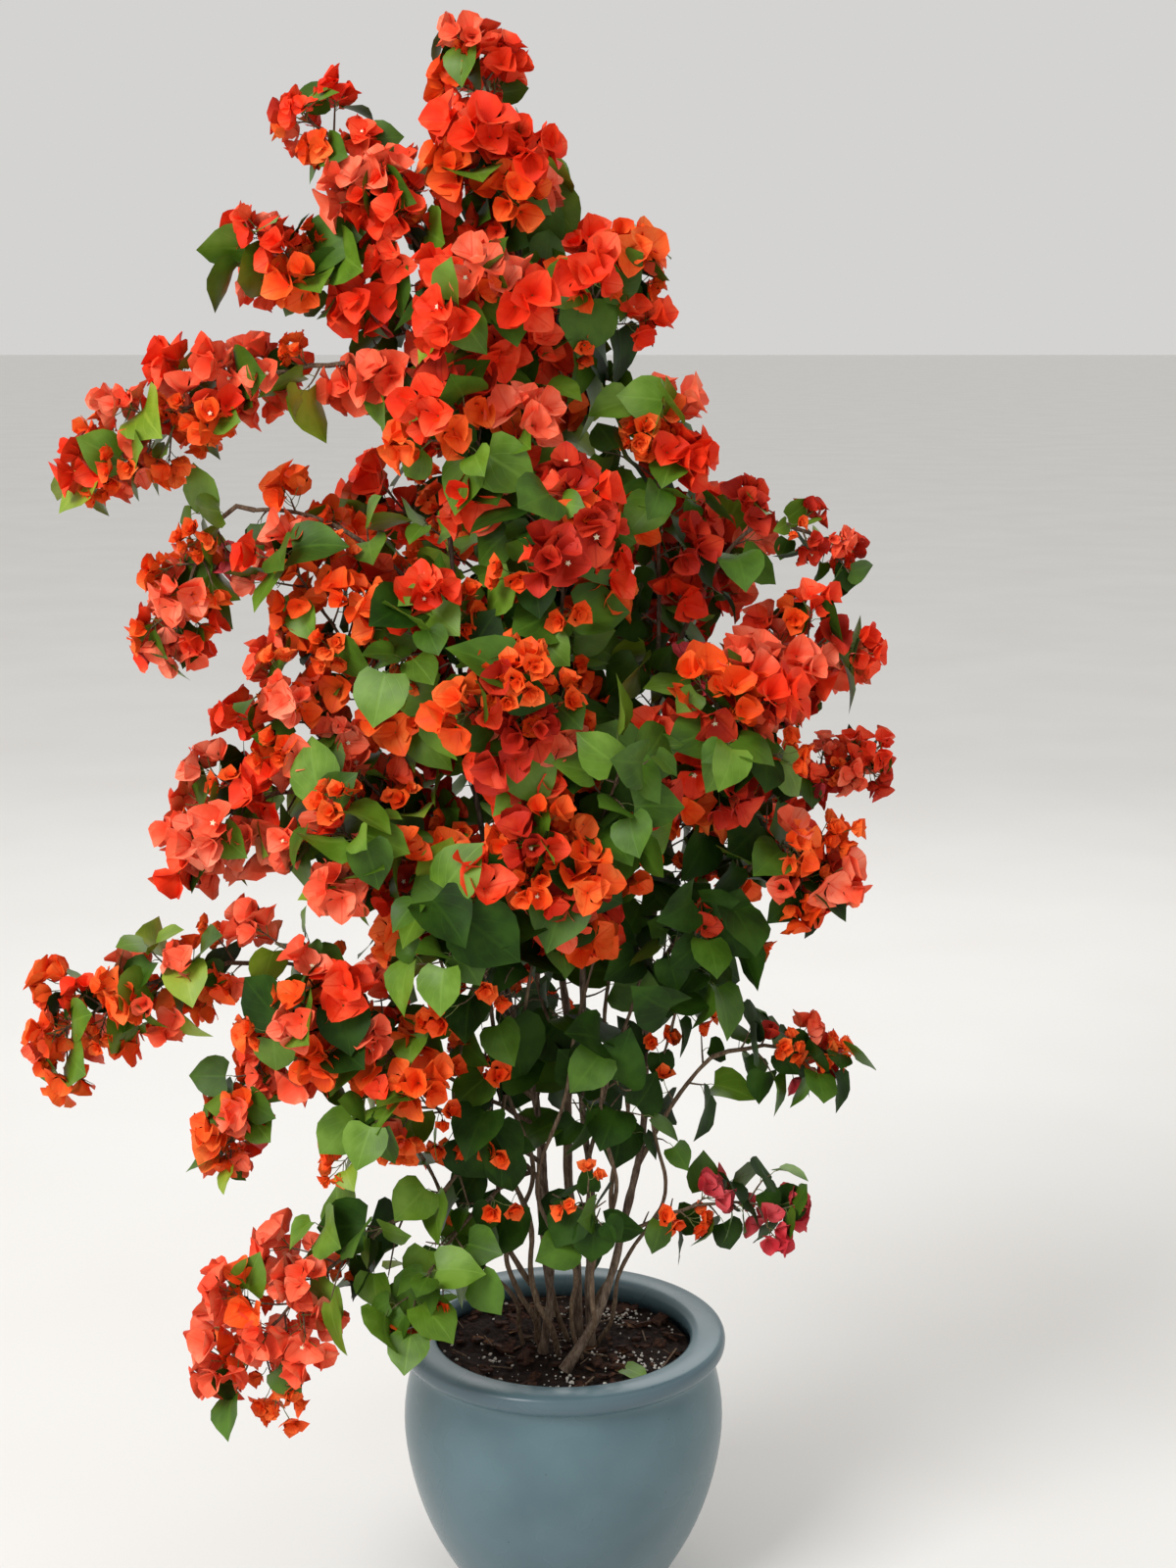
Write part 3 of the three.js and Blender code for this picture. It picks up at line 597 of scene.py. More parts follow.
def young_bloom_shape(rng):
    """A bloom that is still opening: a tight whorl inside a looser one, a sixth of a turn apart."""
    outer = bloom_shape(rng, math.radians(36), YOUNG_ROWS)
    points, faces, charts = bloom_shape(rng, math.radians(14), YOUNG_ROWS)
    return joined([outer, (points * (-0.78, -0.78, 0.78), faces, charts)])


def tube_shape(points, radii, sides=3):
    """A closed tube along the points."""
    points = np.array([tuple(point) for point in points], float)
    count = len(points)
    aim = np.gradient(points, axis=0)
    aim /= np.linalg.norm(aim, axis=1)[:, None]
    spare = np.eye(3)[np.argmin(np.abs(points[-1] - points[0]))]
    side = np.cross(aim, spare)
    side /= np.linalg.norm(side, axis=1)[:, None]
    other = np.cross(aim, side)
    angles = 2 * math.pi * np.arange(sides) / sides
    ring = np.cos(angles)[None, :, None] * side[:, None] + np.sin(angles)[None, :, None] * other[:, None]
    verts = (points[:, None] + ring * np.array(radii, float)[:, None, None]).reshape(-1, 3)
    faces = []
    for level in range(count - 1):
        for corner in range(sides):
            a, b = level * sides + corner, level * sides + (corner + 1) % sides
            faces += [(a, b, b + sides), (a, b + sides, a + sides)]
    top = (count - 1) * sides
    for corner in range(1, sides - 1):
        faces += [(0, corner + 1, corner), (top, top + corner, top + corner + 1)]
    return verts, np.array(faces), np.zeros((len(verts), 2))


STAR_CORNERS = 10


def true_flower_shape():
    """The small cream flower in a bloom: a slim tube that opens in a five-lobed star."""
    tube = tube_shape([(0, 0, 0), (0, 0, 0.32), (0, 0, 0.42)], [0.03, 0.035, 0.05], 5)
    star, faces = [], []
    for corner in range(STAR_CORNERS):
        reach = 0.14 if corner % 2 == 0 else 0.07
        angle = 2 * math.pi * corner / STAR_CORNERS
        star.append((reach * math.cos(angle), reach * math.sin(angle), 0.44))
        after = (corner + 1) % STAR_CORNERS
        faces += [(after, corner, STAR_CORNERS), (corner, after, STAR_CORNERS + 1)]
    star += [(0, 0, 0.42), (0, 0, 0.45)]
    return joined([tube, (np.array(star), np.array(faces), np.zeros((len(star), 2)))])


LEAF_KINDS = 8
BLOOM_KINDS = 8
YOUNG_KINDS = 3
shape_rng = random.Random(11)
SHAPES = {f"leaf_{n}": blade(shape_rng, LEAF_ROWS, LEAF_FORM, LEAF_THICKNESS) for n in range(LEAF_KINDS)}
SHAPES |= {f"bloom_{n}": bloom_shape(shape_rng, math.radians(24 + 3.5 * n)) for n in range(BLOOM_KINDS)}
SHAPES |= {f"young_bloom_{n}": young_bloom_shape(shape_rng) for n in range(YOUNG_KINDS)}
SHAPES["true_flower"] = true_flower_shape()

# What grows is gathered by piece: placed copies of the shapes above, tubes, and the masses it
# stands for.
copies = {}
tubes = {}
stands_for = {}


def put(piece, shape, at, side, along, facing, size):
    rows = [tuple(side * size), tuple(along * size), tuple(facing * size), tuple(at)]
    copies.setdefault(piece, {}).setdefault(shape, []).append(rows)


def put_tube(piece, points, radii, sides=3):
    tubes.setdefault(piece, []).append(tube_shape(points, radii, sides))


def square_to(side, axis):
    return (side - axis * side.dot(axis)).normalized()


def any_way(rng, reach):
    return Vector([rng.uniform(-reach, reach) for _ in range(3)])


SPINES = [
    arched(start_on(carrier, leaves), Vector(to), arch) for _, carrier, leaves, to, arch, *_ in MASSES
]
SAMPLES = np.array([[tuple(spine.at(t)) for t in steps_from(0, 1, SPACE_SAMPLES)] for spine in SPINES])
GIRTHS = np.array([row[5] for row in MASSES], float)


def in_own_space(point, index):
    near = np.linalg.norm(SAMPLES - np.array(tuple(point)), axis=2).min(axis=1) / GIRTHS
    return near[index] <= REACH and near[index] <= near.min() + 1e-9


def has_room(point):
    """Whether the point is off the pot and within the box."""
    inside = all(low <= value <= high for low, value, high in zip(BOX_LOW, point, BOX_HIGH))
    return inside and (point.z > POT_KEEP_HEIGHT or math.hypot(point.x, point.y) > POT_KEEP_RADIUS)


def away_from_middle(point):
    return Vector((point.x - MIDDLE_X, point.y, 0)).normalized()


def off_the_left(point):
    return point.x > (SHADED_LEFT if point.z > FOOT_TOP else SHADED_LEFT_AT_FOOT)


def shaded(point):
    return point.z < SHADED_TOP and off_the_left(point) and point.x < SHADED_RIGHT


class Room:
    """Remembers where blades are, so that no two are closer than their room."""

    def __init__(self, cell):
        self.cell = cell
        self.kept = {}

    def claim(self, point, room):
        home = tuple(math.floor(value / self.cell) for value in point)
        cells = itertools.product(*((place - 1, place, place + 1) for place in home))
        if any((other - point).length < room for cell in cells for other in self.kept.get(cell, ())):
            return False
        self.kept.setdefault(home, []).append(point.copy())
        return True


bloom_room = Room(BLOOM_ROOM * 1.3)
leaf_room = Room(LEAF_ROOM * 1.3)


HUES = ("orange", "scarlet", "coral", "brick", "rose")
LEAST, MOST = -math.inf, math.inf
# Shares of the bract hues by place: a span in x, a span in z, and the shares there. A point takes
# the first row that holds it: the foot, the left, the top, the right, or else the middle.
# The fourth hue is scarlet darkened as painted shade, dealt out most on the right and in the middle.
BRACT_SHARES = [
    ((LEAST, -160), (LEAST, 600), (0.22, 0.06, 0.7, 0, 0.02)),
    ((LEAST, -190), (LEAST, 1640), (0.4, 0.12, 0.46, 0, 0.02)),
    ((LEAST, MOST), (1560, MOST), (0.12, 0.5, 0.35, 0.03, 0)),
    ((90, MOST), (LEAST, MOST), (0.06, 0.3, 0.2, 0.4, 0.04)),
    ((LEAST, MOST), (LEAST, MOST), (0.24, 0.34, 0.1, 0.3, 0.02)),
]
ROSE_MASSES = ("foot_right_spray", "centre_low_leaves")


def bract_hue(rng, point, name):
    """Orange and salmon on the left, scarlet at the top, painted shade to the right and in the middle, rose
    at the foot.
    """
    if name in ROSE_MASSES:
        return "rose"
    for (left, right), (bottom, top), shares in BRACT_SHARES:
        if left < point.x < right and bottom < point.z < top:
            return rng.choices(HUES, shares)[0]


# Light on a leaf: how it grows with the depth at which the leaf is, and what its place adds. Low
# down and on the right it is darker, but for leaves in front of a plane; on the left it is lighter.
LIGHT_BY_DEPTH = 0.9
HALF_LIT_DEPTH = 0.65
DEEP_SHADE = 0.6
FAINT_SHADE = 0.05
LOW_SHADE = 0.55
LOW_TOP = 1000
LOW_FRONT = -205
RIGHT_SHADE = 0.25
RIGHT_FROM = 40
RIGHT_TOP = 1380
RIGHT_FRONT = -185
LEFT_LIGHT = 0.12
LEFT_TO = -100
# Leaves take the first hue whose threshold their light is past.
LEAF_HUES = (("young", 1.12), ("light", 0.64), ("middle", 0.2))


def leaf_hue_by_light(rng, point, depth):
    """Painted light and shade: fresher green where light falls, outside and on the left, deeper green for
    shade inside, low in the middle and on the right.
    """
    lit = LIGHT_BY_DEPTH * (depth - HALF_LIT_DEPTH)
    if shaded(point):
        lit -= DEEP_SHADE if point.x > LIT_LEFT else FAINT_SHADE
    elif point.z < LOW_TOP and off_the_left(point):
        lit -= LOW_SHADE if point.y > LOW_FRONT and point.x > LIT_LEFT else FAINT_SHADE
    elif point.x > RIGHT_FROM and point.z < RIGHT_TOP and point.y > RIGHT_FRONT:
        lit -= RIGHT_SHADE
    elif point.x < LEFT_TO:
        lit += LEFT_LIGHT
    roll = rng.random() + lit
    return next((hue for hue, threshold in LEAF_HUES if roll > threshold), "deep")


def remember(mass, *pieces):
    for piece in pieces:
        stands_for.setdefault(piece, set()).add(mass["name"])


def depth_in(samples, girth):
    """Measures how far out a point is, in girths from the nearest sample."""
    return lambda point: float(np.linalg.norm(samples - np.array(tuple(point)), axis=1).min() / girth)


def grow_leaf(rng, mass, at, axis, outward, size):
    stalk = LEAF_STALK * size * rng.uniform(0.7, 1.3)
    end = at + axis * stalk
    side = outward.cross(axis)
    along = axis * 0.7 + outward * 0.3 + side * rng.uniform(-1, 1) - UP * rng.uniform(*LEAF_HANG)
    along.normalize()
    length = LEAF_LENGTH * size * (LEAF_LEAST + LEAF_SPREAD * rng.random() ** 0.7)
    middle = end + along * 0.45 * length
    far = end + along * length
    if not mass["holds"](middle) or not has_room(far) or not has_room(middle):
        return
    if shaded(middle) and rng.random() > SHADED_LEAVES:
        return
    if not leaf_room.claim(middle, (LEAF_ROOM if middle.x > LEFT_SIDE else LEAF_ROOM_LEFT) * size):
        return
    up = away_from_middle(middle) + UP * rng.uniform(*LEAF_LIFT)
    up += any_way(rng, LEAF_TILT)
    facing = square_to(up, along)
    piece = "leaves_" + leaf_hue_by_light(rng, middle, mass["depth"](middle))
    put(piece, f"leaf_{rng.randrange(LEAF_KINDS)}", end, along.cross(facing), along, facing, length)
    bend = at.lerp(end, 0.5) + UP * 0.12 * stalk
    put_tube("leaf_stalks", [at, bend, end + along * 0.04 * length], LEAF_STALK_RADII)
    remember(mass, piece, "leaf_stalks")


def grow_bloom(rng, mass, at, axis, hue, size, young):
    stalk = BLOOM_STALK * size * rng.uniform(0.75, 1.25)
    end = at + axis * stalk
    facing = axis + away_from_middle(end) * 0.45 + UP * rng.uniform(*BLOOM_LIFT)
    facing += any_way(rng, BLOOM_TILT)
    facing.normalize()
    length = BRACT_LENGTH * size * rng.uniform(0.82, 1.12) * (YOUNG_LENGTH if young else 1)
    middle = end + facing * 0.5 * length
    if not mass["holds"](middle) or not has_room(middle + facing * 0.5 * length):
        return
    if not bloom_room.claim(middle, BLOOM_ROOM * size * (YOUNG_ROOM if young else 1)):
        return
    side = square_to(any_way(rng, 1), facing)
    piece = "bracts_" + hue
    shape = f"young_bloom_{rng.randrange(YOUNG_KINDS)}" if young else f"bloom_{rng.randrange(BLOOM_KINDS)}"
    put(piece, shape, end, side, facing.cross(side), facing, length * (YOUNG_SWELL if young else 1))
    remember(mass, piece, "bloom_stalks")
    if not young and rng.random() < TRUE_FLOWERS:
        lean = (facing + side * rng.uniform(-0.25, 0.25)).normalized()
        turned = square_to(side, lean)
        put("true_flowers", "true_flower", end, turned, lean.cross(turned), lean, 0.8 * length)
        remember(mass, "true_flowers")
    bend = at.lerp(end, 0.5) - UP * 0.08 * stalk
    put_tube("bloom_stalks", [at, bend, end + facing * 0.05 * length], BLOOM_STALK_RADII)


# Sprays to the left of this x and above this z hold one bloom less, and more of them are small.
LEFT_SPRAYS_X = -150
LEFT_SPRAYS_Z = 600
SMALL_SIZE = 0.8
SMALL_SHARE = 0.3
SMALL_SHARE_LEFT = 0.6
MOST_IN_SHADE = 2
MOST_ROSE = 3
CYME_TURN = (-0.3, 0.3)
CYME_SPREAD = (0.7, 1.3)
FIRST_SPREAD = 0.25


def grow_cyme(rng, mass, at, axis, size, count, young_share=YOUNG_SHARE):
    """Blooms on stalks that spread from the end of a twig. Young ones are small and orange."""
    if shaded(at):
        young_share, count = 1, min(count, MOST_IN_SHADE)
    young = rng.random() < young_share
    hue = "orange" if young else bract_hue(rng, at, mass["name"])
    if hue == "rose":
        count = min(count, MOST_ROSE)
    start = square_to(any_way(rng, 1), axis)
    side = axis.cross(start)
    leftward = at.x < LEFT_SPRAYS_X and at.z > LEFT_SPRAYS_Z
    size *= SMALL_SIZE if rng.random() < (SMALL_SHARE_LEFT if leftward else SMALL_SHARE) else 1
    for order in range(max(1, count - 1) if leftward else count):
        turn = GOLDEN_ANGLE * order + rng.uniform(*CYME_TURN)
        spread = FIRST_SPREAD if order == 0 else rng.uniform(*CYME_SPREAD)
        way = axis + (start * math.cos(turn) + side * math.sin(turn)) * spread
        grow_bloom(rng, mass, at - axis * 4 * order * size, way.normalized(), hue, size, young)


def turned_about(first, aim, turn):
    return first * math.cos(turn) + aim.cross(first) * math.sin(turn)


TWIG_SAG = (-0.12, 0.14)
# Where along a twig its leaves begin, over how much of it they go on, and the size of the last.
LEAVES_FROM = 0.3
LEAVES_OVER = 0.68
LAST_LEAF = 0.8
# Blooms in a spray at the end of a twig, along it, and where the twig bears young ones only.
SPRAY_BLOOMS = (4, 5, 6, 7, 8)
SIDE_SPRAY_BLOOMS = (2, 3, 4)
YOUNG_SPRAY_BLOOMS = (2, 3)
SIDE_SPRAYS_AT = (0.5, 0.78)
SIDE_SPRAY_SHARE = 0.75


def grow_twig(rng, mass, start, outward, axis, reach, bloom, size):
    """A side twig with its leaves, and a spray of blooms or a last leaf at its end."""
    for _ in range(TRIES):
        end = start + axis * reach
        if mass["holds"](end) and has_room(end):
            break
        reach *= SHRINK
    else:
        return
    sag = UP * reach * rng.uniform(*TWIG_SAG)
    line = Line([start, start.lerp(end, 0.33) + sag * 0.8, start.lerp(end, 0.66) + sag, end])
    shares = (0, 0.25, 0.5, 0.75, 1)
    radii = [between(TWIG_RADIUS, TWIG_TIP_RADIUS, t) for t in shares]
    put_tube("twigs", [line.at(t) for t in shares], radii, 4)
    remember(mass, "twigs")
    blooming = rng.random() < bloom
    bare = BARE_BLOOMING if blooming else 0
    if bloom and mass["name"] == "foot_left_bloom":
        bare = BARE_AT_FOOT
    leaf_count = max(1, round(reach / (LEAF_SPACING * (0.5 + 0.5 * size))))
    turn = 2 * math.pi * rng.random()
    for order in range(leaf_count):
        t = LEAVES_FROM + LEAVES_OVER * (order + 0.5) / leaf_count
        turn += GOLDEN_ANGLE
        if rng.random() < bare:
            continue
        aim = line.tangent(t)
        first = square_to(outward if abs(aim.dot(outward)) < 0.99 else UP, aim)
        out = turned_about(first, aim, turn)
        grow_leaf(rng, mass, line.at(t), (out + aim * 0.6).normalized(), out, size * (1.05 - 0.35 * t))
    tip, aim = line.at(1), line.tangent(1)
    if blooming:
        grow_cyme(rng, mass, tip, aim, size, rng.choice(SPRAY_BLOOMS))
        for t in SIDE_SPRAYS_AT:
            if rng.random() < SIDE_SPRAY_SHARE * bloom:
                turn += GOLDEN_ANGLE
                way = turned_about(square_to(UP, aim), aim, turn) + aim * 0.5
                grow_cyme(rng, mass, line.at(t), way.normalized(), size, rng.choice(SIDE_SPRAY_BLOOMS))
    elif rng.random() < YOUNG_AMONG_LEAVES:
        grow_cyme(rng, mass, tip, aim, size, rng.choice(YOUNG_SPRAY_BLOOMS), 1)
    else:
        grow_leaf(rng, mass, tip, aim, outward, size * LAST_LEAF)


def lean_twig(rng, mass, line, share, azimuth, lean, reach, bloom, size):
    """A twig that leans out from a limb, that way round it."""
    tangent = line.tangent(share)
    outward = turned_about(UP.cross(tangent).normalized(), tangent, azimuth)
    axis = outward * math.sin(lean) + tangent * math.cos(lean)
    grow_twig(rng, mass, line.at(share), outward, axis, reach, bloom, size)


SPINE_BUMP = 1.5
# A mass blooms more towards the end of its spine: its share at the foot, and what the length adds.
BLOOM_AT_FOOT = 0.68
BLOOM_GAIN = 0.6
END_BLOOMS = 6
END_LEAVES = 3
END_LEAF = 0.85


def grow_mass(index):
    name, _, _, _, _, girth, bloom, size = MASSES[index]
    top = TOPS.get(name, BOX_HIGH[2])
    mass = {
        "name": name,
        "holds": lambda point: point.z < top and in_own_space(point, index),
        "depth": depth_in(SAMPLES[index], girth),
    }
    rng = random.Random(index + 1)
    spine = SPINES[index]
    steps = max(4, round(spine.length / SPINE_STEP))
    shares = steps_from(0, 1, steps + 1)
    bumps = [spine.at(share) + UP * SPINE_BUMP * math.sin(9 * share * steps) for share in shares]
    radii = [between(SPINE_RADIUS, SPINE_TIP_RADIUS, share) for share in shares]
    put_tube("twigs", bumps, radii, 6)
    remember(mass, "twigs")

    spacing = TWIG_SPACING * (0.6 + 0.4 * size)
    count = max(4, round(spine.length * (LAST_TWIG - FIRST_TWIG) / spacing) + 1)
    azimuth = 2 * math.pi * rng.random()
    for twig in range(count):
        azimuth += GOLDEN_ANGLE
        share = FIRST_TWIG + (LAST_TWIG - FIRST_TWIG) * (twig + 0.5) / count
        if share < TWIGS_FROM.get(name, 0):
            continue
        reach = girth * (TWIG_LEAST + TWIG_SPREAD * rng.random())
        blooms = min(1, bloom * (BLOOM_AT_FOOT + BLOOM_GAIN * share)) * (share > BLOOMS_FROM.get(name, 0))
        lean_twig(rng, mass, spine, share, azimuth, TWIG_LEAN, reach, blooms, size)
    tip, aim = spine.at(1), spine.tangent(1)
    for _ in range(END_TWIGS):
        azimuth += GOLDEN_ANGLE
        reach = girth * (TWIG_LEAST + END_SPREAD * rng.random())
        lean_twig(rng, mass, spine, 1, azimuth, END_LEAN, reach, bloom, size)
    if name in SHOOTS:
        to, blooms = SHOOTS[name]
        start = spine.at(SHOOT_FROM)
        way = Vector(to) - start
        mass["holds"] = lambda point: True
        grow_twig(rng, mass, start, away_from_middle(tip), way.normalized(), way.length, blooms, size)
    if rng.random() < bloom + 0.1:
        grow_cyme(rng, mass, tip, aim, size, END_BLOOMS)
    else:
        for _ in range(END_LEAVES):
            out = square_to(Vector((rng.uniform(-1, 1), rng.uniform(-1, 1), 0.3)), aim)
            grow_leaf(rng, mass, tip, (aim + out * 0.6).normalized(), out, size * END_LEAF)


# Limbs that bear twigs of their own outside the masses: from which share of their length on, the
# twigs' spacing and reach, and their share of blooms.
LEAFY_LIMBS = [
    ("bough_left_top", 0.12, 17, 62, 0.5),
    ("bough_left_cane", 0.15, 34, 40, 0.3),
    ("bough_left_middle", 0.15, 24, 50, 0.35),
    ("bough_left_low", 0.2, 26, 50, 0.4),
    ("bough_foot_left", 0.2, 30, 48, 0),
    ("bough_right_cane", 0.1, 26, 44, 0.45),
    ("bough_right_middle", 0.15, 26, 50, 0.3),
    ("bough_right_low", 0.15, 30, 44, 0.1),
    ("bough_back_right", 0.15, 26, 55, 0.4),
    ("stem_leader", 0.3, 36, 60, 0.25),
    ("stem_left", 0.3, 36, 60, 0.2),
    ("stem_right", 0.3, 36, 60, 0.2),
    ("stem_back", 0.25, 36, 60, 0.2),
    ("stem_front", 0.3, 36, 60, 0.15),
]
LIMB_SAMPLES = 24
# How far its leaves may be and how long its twigs are, in reaches, and the size of its blades.
LIMB_REACH = 1.6
LIMB_TWIGS = (0.4, 1)
LIMB_BLADES = 0.9
LIMB_SEED = 100


def grow_on_limb(order):
    name, first, spacing, reach, bloom = LEAFY_LIMBS[order]
    line = LIMBS[name]
    samples = np.array([tuple(line.at(share)) for share in steps_from(first, 1, LIMB_SAMPLES)])
    depth = depth_in(samples, reach)
    mass = {"name": name, "holds": lambda point: depth(point) < LIMB_REACH, "depth": depth}
    rng = random.Random(LIMB_SEED + order)
    azimuth = 2 * math.pi * rng.random()
    count = round(line.length * (1 - first) / spacing)
    for twig in range(count):
        azimuth += GOLDEN_ANGLE
        share = first + (1 - first) * (twig + 0.5) / count
        length = reach * rng.uniform(*LIMB_TWIGS)
        lean_twig(rng, mass, line, share, azimuth, TWIG_LEAN, length, bloom, LIMB_BLADES)


def mesh_piece(name, points, faces, charts):
    """A mesh object from arrays, in millimetres, smooth but for its rims."""
    mesh = bpy.data.meshes.new(name)
    mesh.vertices.add(len(points))
    mesh.vertices.foreach_set("co", (points * MM).astype(np.float32).ravel())
    mesh.loops.add(faces.size)
    mesh.loops.foreach_set("vertex_index", faces.astype(np.int32).ravel())
    mesh.polygons.add(len(faces))
    mesh.polygons.foreach_set("loop_start", np.arange(0, faces.size, 3, dtype=np.int32))
    chart = mesh.uv_layers.new(name="blade")
    chart.data.foreach_set("uv", charts[faces.ravel()].astype(np.float32).ravel())
    mesh.update(calc_edges=True)
    mesh.validate()
    piece = link_new(name, mesh)
    only(piece)
    bpy.ops.object.shade_smooth_by_angle(angle=math.radians(60))
    return piece


def placed(shape, rows):
    """Copies of a shape, each in its own frame."""
    points, faces, charts = SHAPES[shape]
    rows = np.array(rows)
    verts = np.einsum("vk,nkd->nvd", points, rows[:, :3]) + rows[:, 3][:, None]
    count = len(rows)
    shifts = np.arange(count)[:, None, None] * len(points)
    return verts.reshape(-1, 3), (faces[None] + shifts).reshape(-1, 3), np.tile(charts, (count, 1))


MOST_TRIANGLES = 180000


def raise_growth(finishes):
    """Joins what grew into pieces, each kind and hue apart, and starts a new piece where one is full."""
    for piece_name in sorted(set(copies) | set(tubes)):
        shapes = [placed(shape, rows) for shape, rows in sorted(copies.get(piece_name, {}).items())]
        batches, total = [[]], 0
        for shape in shapes + tubes.get(piece_name, []):
            if batches[-1] and total + len(shape[1]) > MOST_TRIANGLES:
                batches.append([])
                total = 0
            batches[-1].append(shape)
            total += len(shape[1])
        finish, slot = finishes[piece_name]
        for order, batch in enumerate(batches):
            name = piece_name if order == 0 else f"{piece_name}_{order + 1}"
            finish_piece(mesh_piece(name, *joined(batch)), name, finish, sorted(stands_for[piece_name]))


def limb_curve(name, line, radius_at, sides, step):
    """A tube along the line, as a mesh."""
    count = max(4, round(line.length / step))
    curve = bpy.data.curves.new(name, "CURVE")
    curve.dimensions = "3D"
    spline = curve.splines.new("POLY")
    spline.points.add(count)
    for point, share in zip(spline.points, steps_from(0, 1, count + 1)):
        at = line.at(share)
        point.co = (*(at * MM), 1)
        point.radius = radius_at(at, share)
    curve.bevel_depth = MM
    curve.bevel_resolution = sides
    curve.use_fill_caps = True
    only(link_new(name, curve))
    bpy.ops.object.convert(target="MESH")
    return bpy.context.object


def lumps(name, size_mm, depth):
    made = bpy.data.textures.new(name, "CLOUDS")
    made.noise_scale = size_mm * MM
    made.noise_depth = depth
    return made


def displace(piece, texture, strength_mm, **settings):
    local = {"mid_level": 0.5, "texture_coords": "LOCAL"}
    apply_modifier(piece, "DISPLACE", texture=texture, strength=strength_mm * MM, **local, **settings)


# Limbs are drawn this much thinner, and their relief brings them back to size.
UNDER_BARK = 0.74
STEM_SWELLING = 2.6
BOUGH_SWELLING = 1.6
CREASES = 0.8


def stems_and_boughs(bark, cane):
    """Limbs roughened by lumps and by creases, joined into stems, boughs and canes."""

    def stem_girth(radius):
        return lambda at, share: UNDER_BARK * stem_radius(radius, at.z - SOIL_TOP, share)

    def taper(radius, tip_radius, scale=1):
        return lambda at, share: scale * between(radius, tip_radius, share)

    bough_girth = taper(BOUGH_RADIUS, BOUGH_TIP_RADIUS, UNDER_BARK)
    stems = [(LIMBS[name], stem_girth(radius)) for name, radius, _ in STEMS]
    boughs = [(LIMBS[name], bough_girth) for name, *_ in BOUGHS]
    canes = [
        (stem_line(points, order, CANE_WOBBLE, CANE_WOBBLE_LENGTH), taper(radius, CANE_TIP_RADIUS))
        for order, (radius, points) in enumerate(CANES)
    ]
    swell = lumps("stem_swell", 26, 2)
    crease = lumps("stem_crease", 5, 3)
    for name, limbs, finish, sides, step, swelling, stood_for in (
        ("stems_with_bark", stems, bark, 4, 6, STEM_SWELLING, STEMS),
        ("boughs_with_bark", boughs, cane, 3, 7, BOUGH_SWELLING, BOUGHS),
        ("twining_canes", canes, cane, 3, 7, BOUGH_SWELLING, STEMS),
    ):
        pieces = [limb_curve(name, line, radius_at, sides, step) for line, radius_at in limbs]
        only(pieces[0])
        for piece in pieces:
            piece.select_set(True)
        bpy.ops.object.join()
        piece = bpy.context.object
        displace(piece, swell, swelling)
        displace(piece, crease, CREASES)
        only(piece)
        bpy.ops.object.shade_smooth()
        finish_piece(piece, name, finish, [row[0] for row in stood_for])


# The pot and the mix: the number of sides, and the radius and height of each ring. The pot's go
# from the foot up the wall, over the rim, and down inside.
POT_SIDES = 64
POT_RINGS = [
    (112, 0), (117, 1.2), (121, 6), (133, 26), (152, 58), (171, 92), (187, 130), (199, 172), (206, 212),
    (208, 245), (205, 277), (199, 303), (194, 318), (193, 325), (195, 330), (201, 332.5), (206, 336),
    (209.4, 341), (210.2, 347), (209.8, 353.5), (206.8, 358), (199, 359.4), (188, 359.9), (176, 359.2),
    (168.5, 357), (165, 352), (164, 344), (168, 334), (178, 322), (188, 300), (195, 272), (196, 245),
    (194, 205), (184, 155), (168, 110), (144, 66), (118, 32), (100, 17),
]
POT_INSETS = [30, 40]
MIX_SIDES = 96
MIX_RINGS = [(150, 120), (180, 180), (190, 245), (184, 290), (170, 322), (163, 331)]
MIX_INSETS = [7] * 22
MIX_TOP = 330


def drawn_up(sides, rings, insets):
    """A disc drawn up ring by ring, and drawn in at the end to close."""
    radius, height = rings[0]
    deselect_all()
    bpy.ops.mesh.primitive_circle_add(
        vertices=sides, radius=radius * MM, fill_type="NGON", location=(0, 0, height * MM)
    )
    piece = bpy.context.object
    bpy.ops.object.mode_set(mode="EDIT")
    bpy.ops.mesh.select_all(action="SELECT")
    for next_radius, next_height in rings[1:]:
        lift = (0, 0, (next_height - height) * MM)
        bpy.ops.mesh.extrude_region_move(TRANSFORM_OT_translate={"value": lift})
        grow = next_radius / radius
        bpy.ops.transform.resize(value=(grow, grow, 1), center_override=(0, 0, next_height * MM))
        radius, height = next_radius, next_height
    for inset in insets:
        bpy.ops.mesh.inset(thickness=inset * MM)
    bpy.ops.mesh.select_all(action="SELECT")
    bpy.ops.mesh.normals_make_consistent(inside=False)
    bpy.ops.object.mode_set(mode="OBJECT")
    only(piece)
    # Its place goes into its mesh, so that the object sits at the origin.
    bpy.ops.object.transform_apply(location=True, rotation=True, scale=True)
    return piece


def glazed_pot(glaze):
    piece = drawn_up(POT_SIDES, POT_RINGS, POT_INSETS)
    apply_modifier(piece, "SUBSURF", levels=1, render_levels=1)
    only(piece)
    bpy.ops.object.shade_smooth_by_angle(angle=math.radians(50))
    finish_piece(piece, "pot_glazed", glaze, ["pot"])


def potting_mix(peat):
    """A plug of mix with a rough top."""
    piece = drawn_up(MIX_SIDES, MIX_RINGS, MIX_INSETS)
    apply_modifier(piece, "SUBSURF", levels=1, render_levels=1, subdivision_type="SIMPLE")
    top = piece.vertex_groups.new(name="top")
    top.add([vertex.index for vertex in piece.data.vertices if vertex.co.z > MIX_TOP * MM], 1, "REPLACE")
    for texture, strength in ((lumps("mix_heaps", 60, 1), 12), (lumps("mix_crumbs", 9, 3), 9)):
        displace(piece, texture, strength, direction="Z", vertex_group="top")
    piece.vertex_groups.clear()
    only(piece)
    bpy.ops.object.shade_smooth()
    finish_piece(piece, "potting_mix_top", peat, ["soil"])


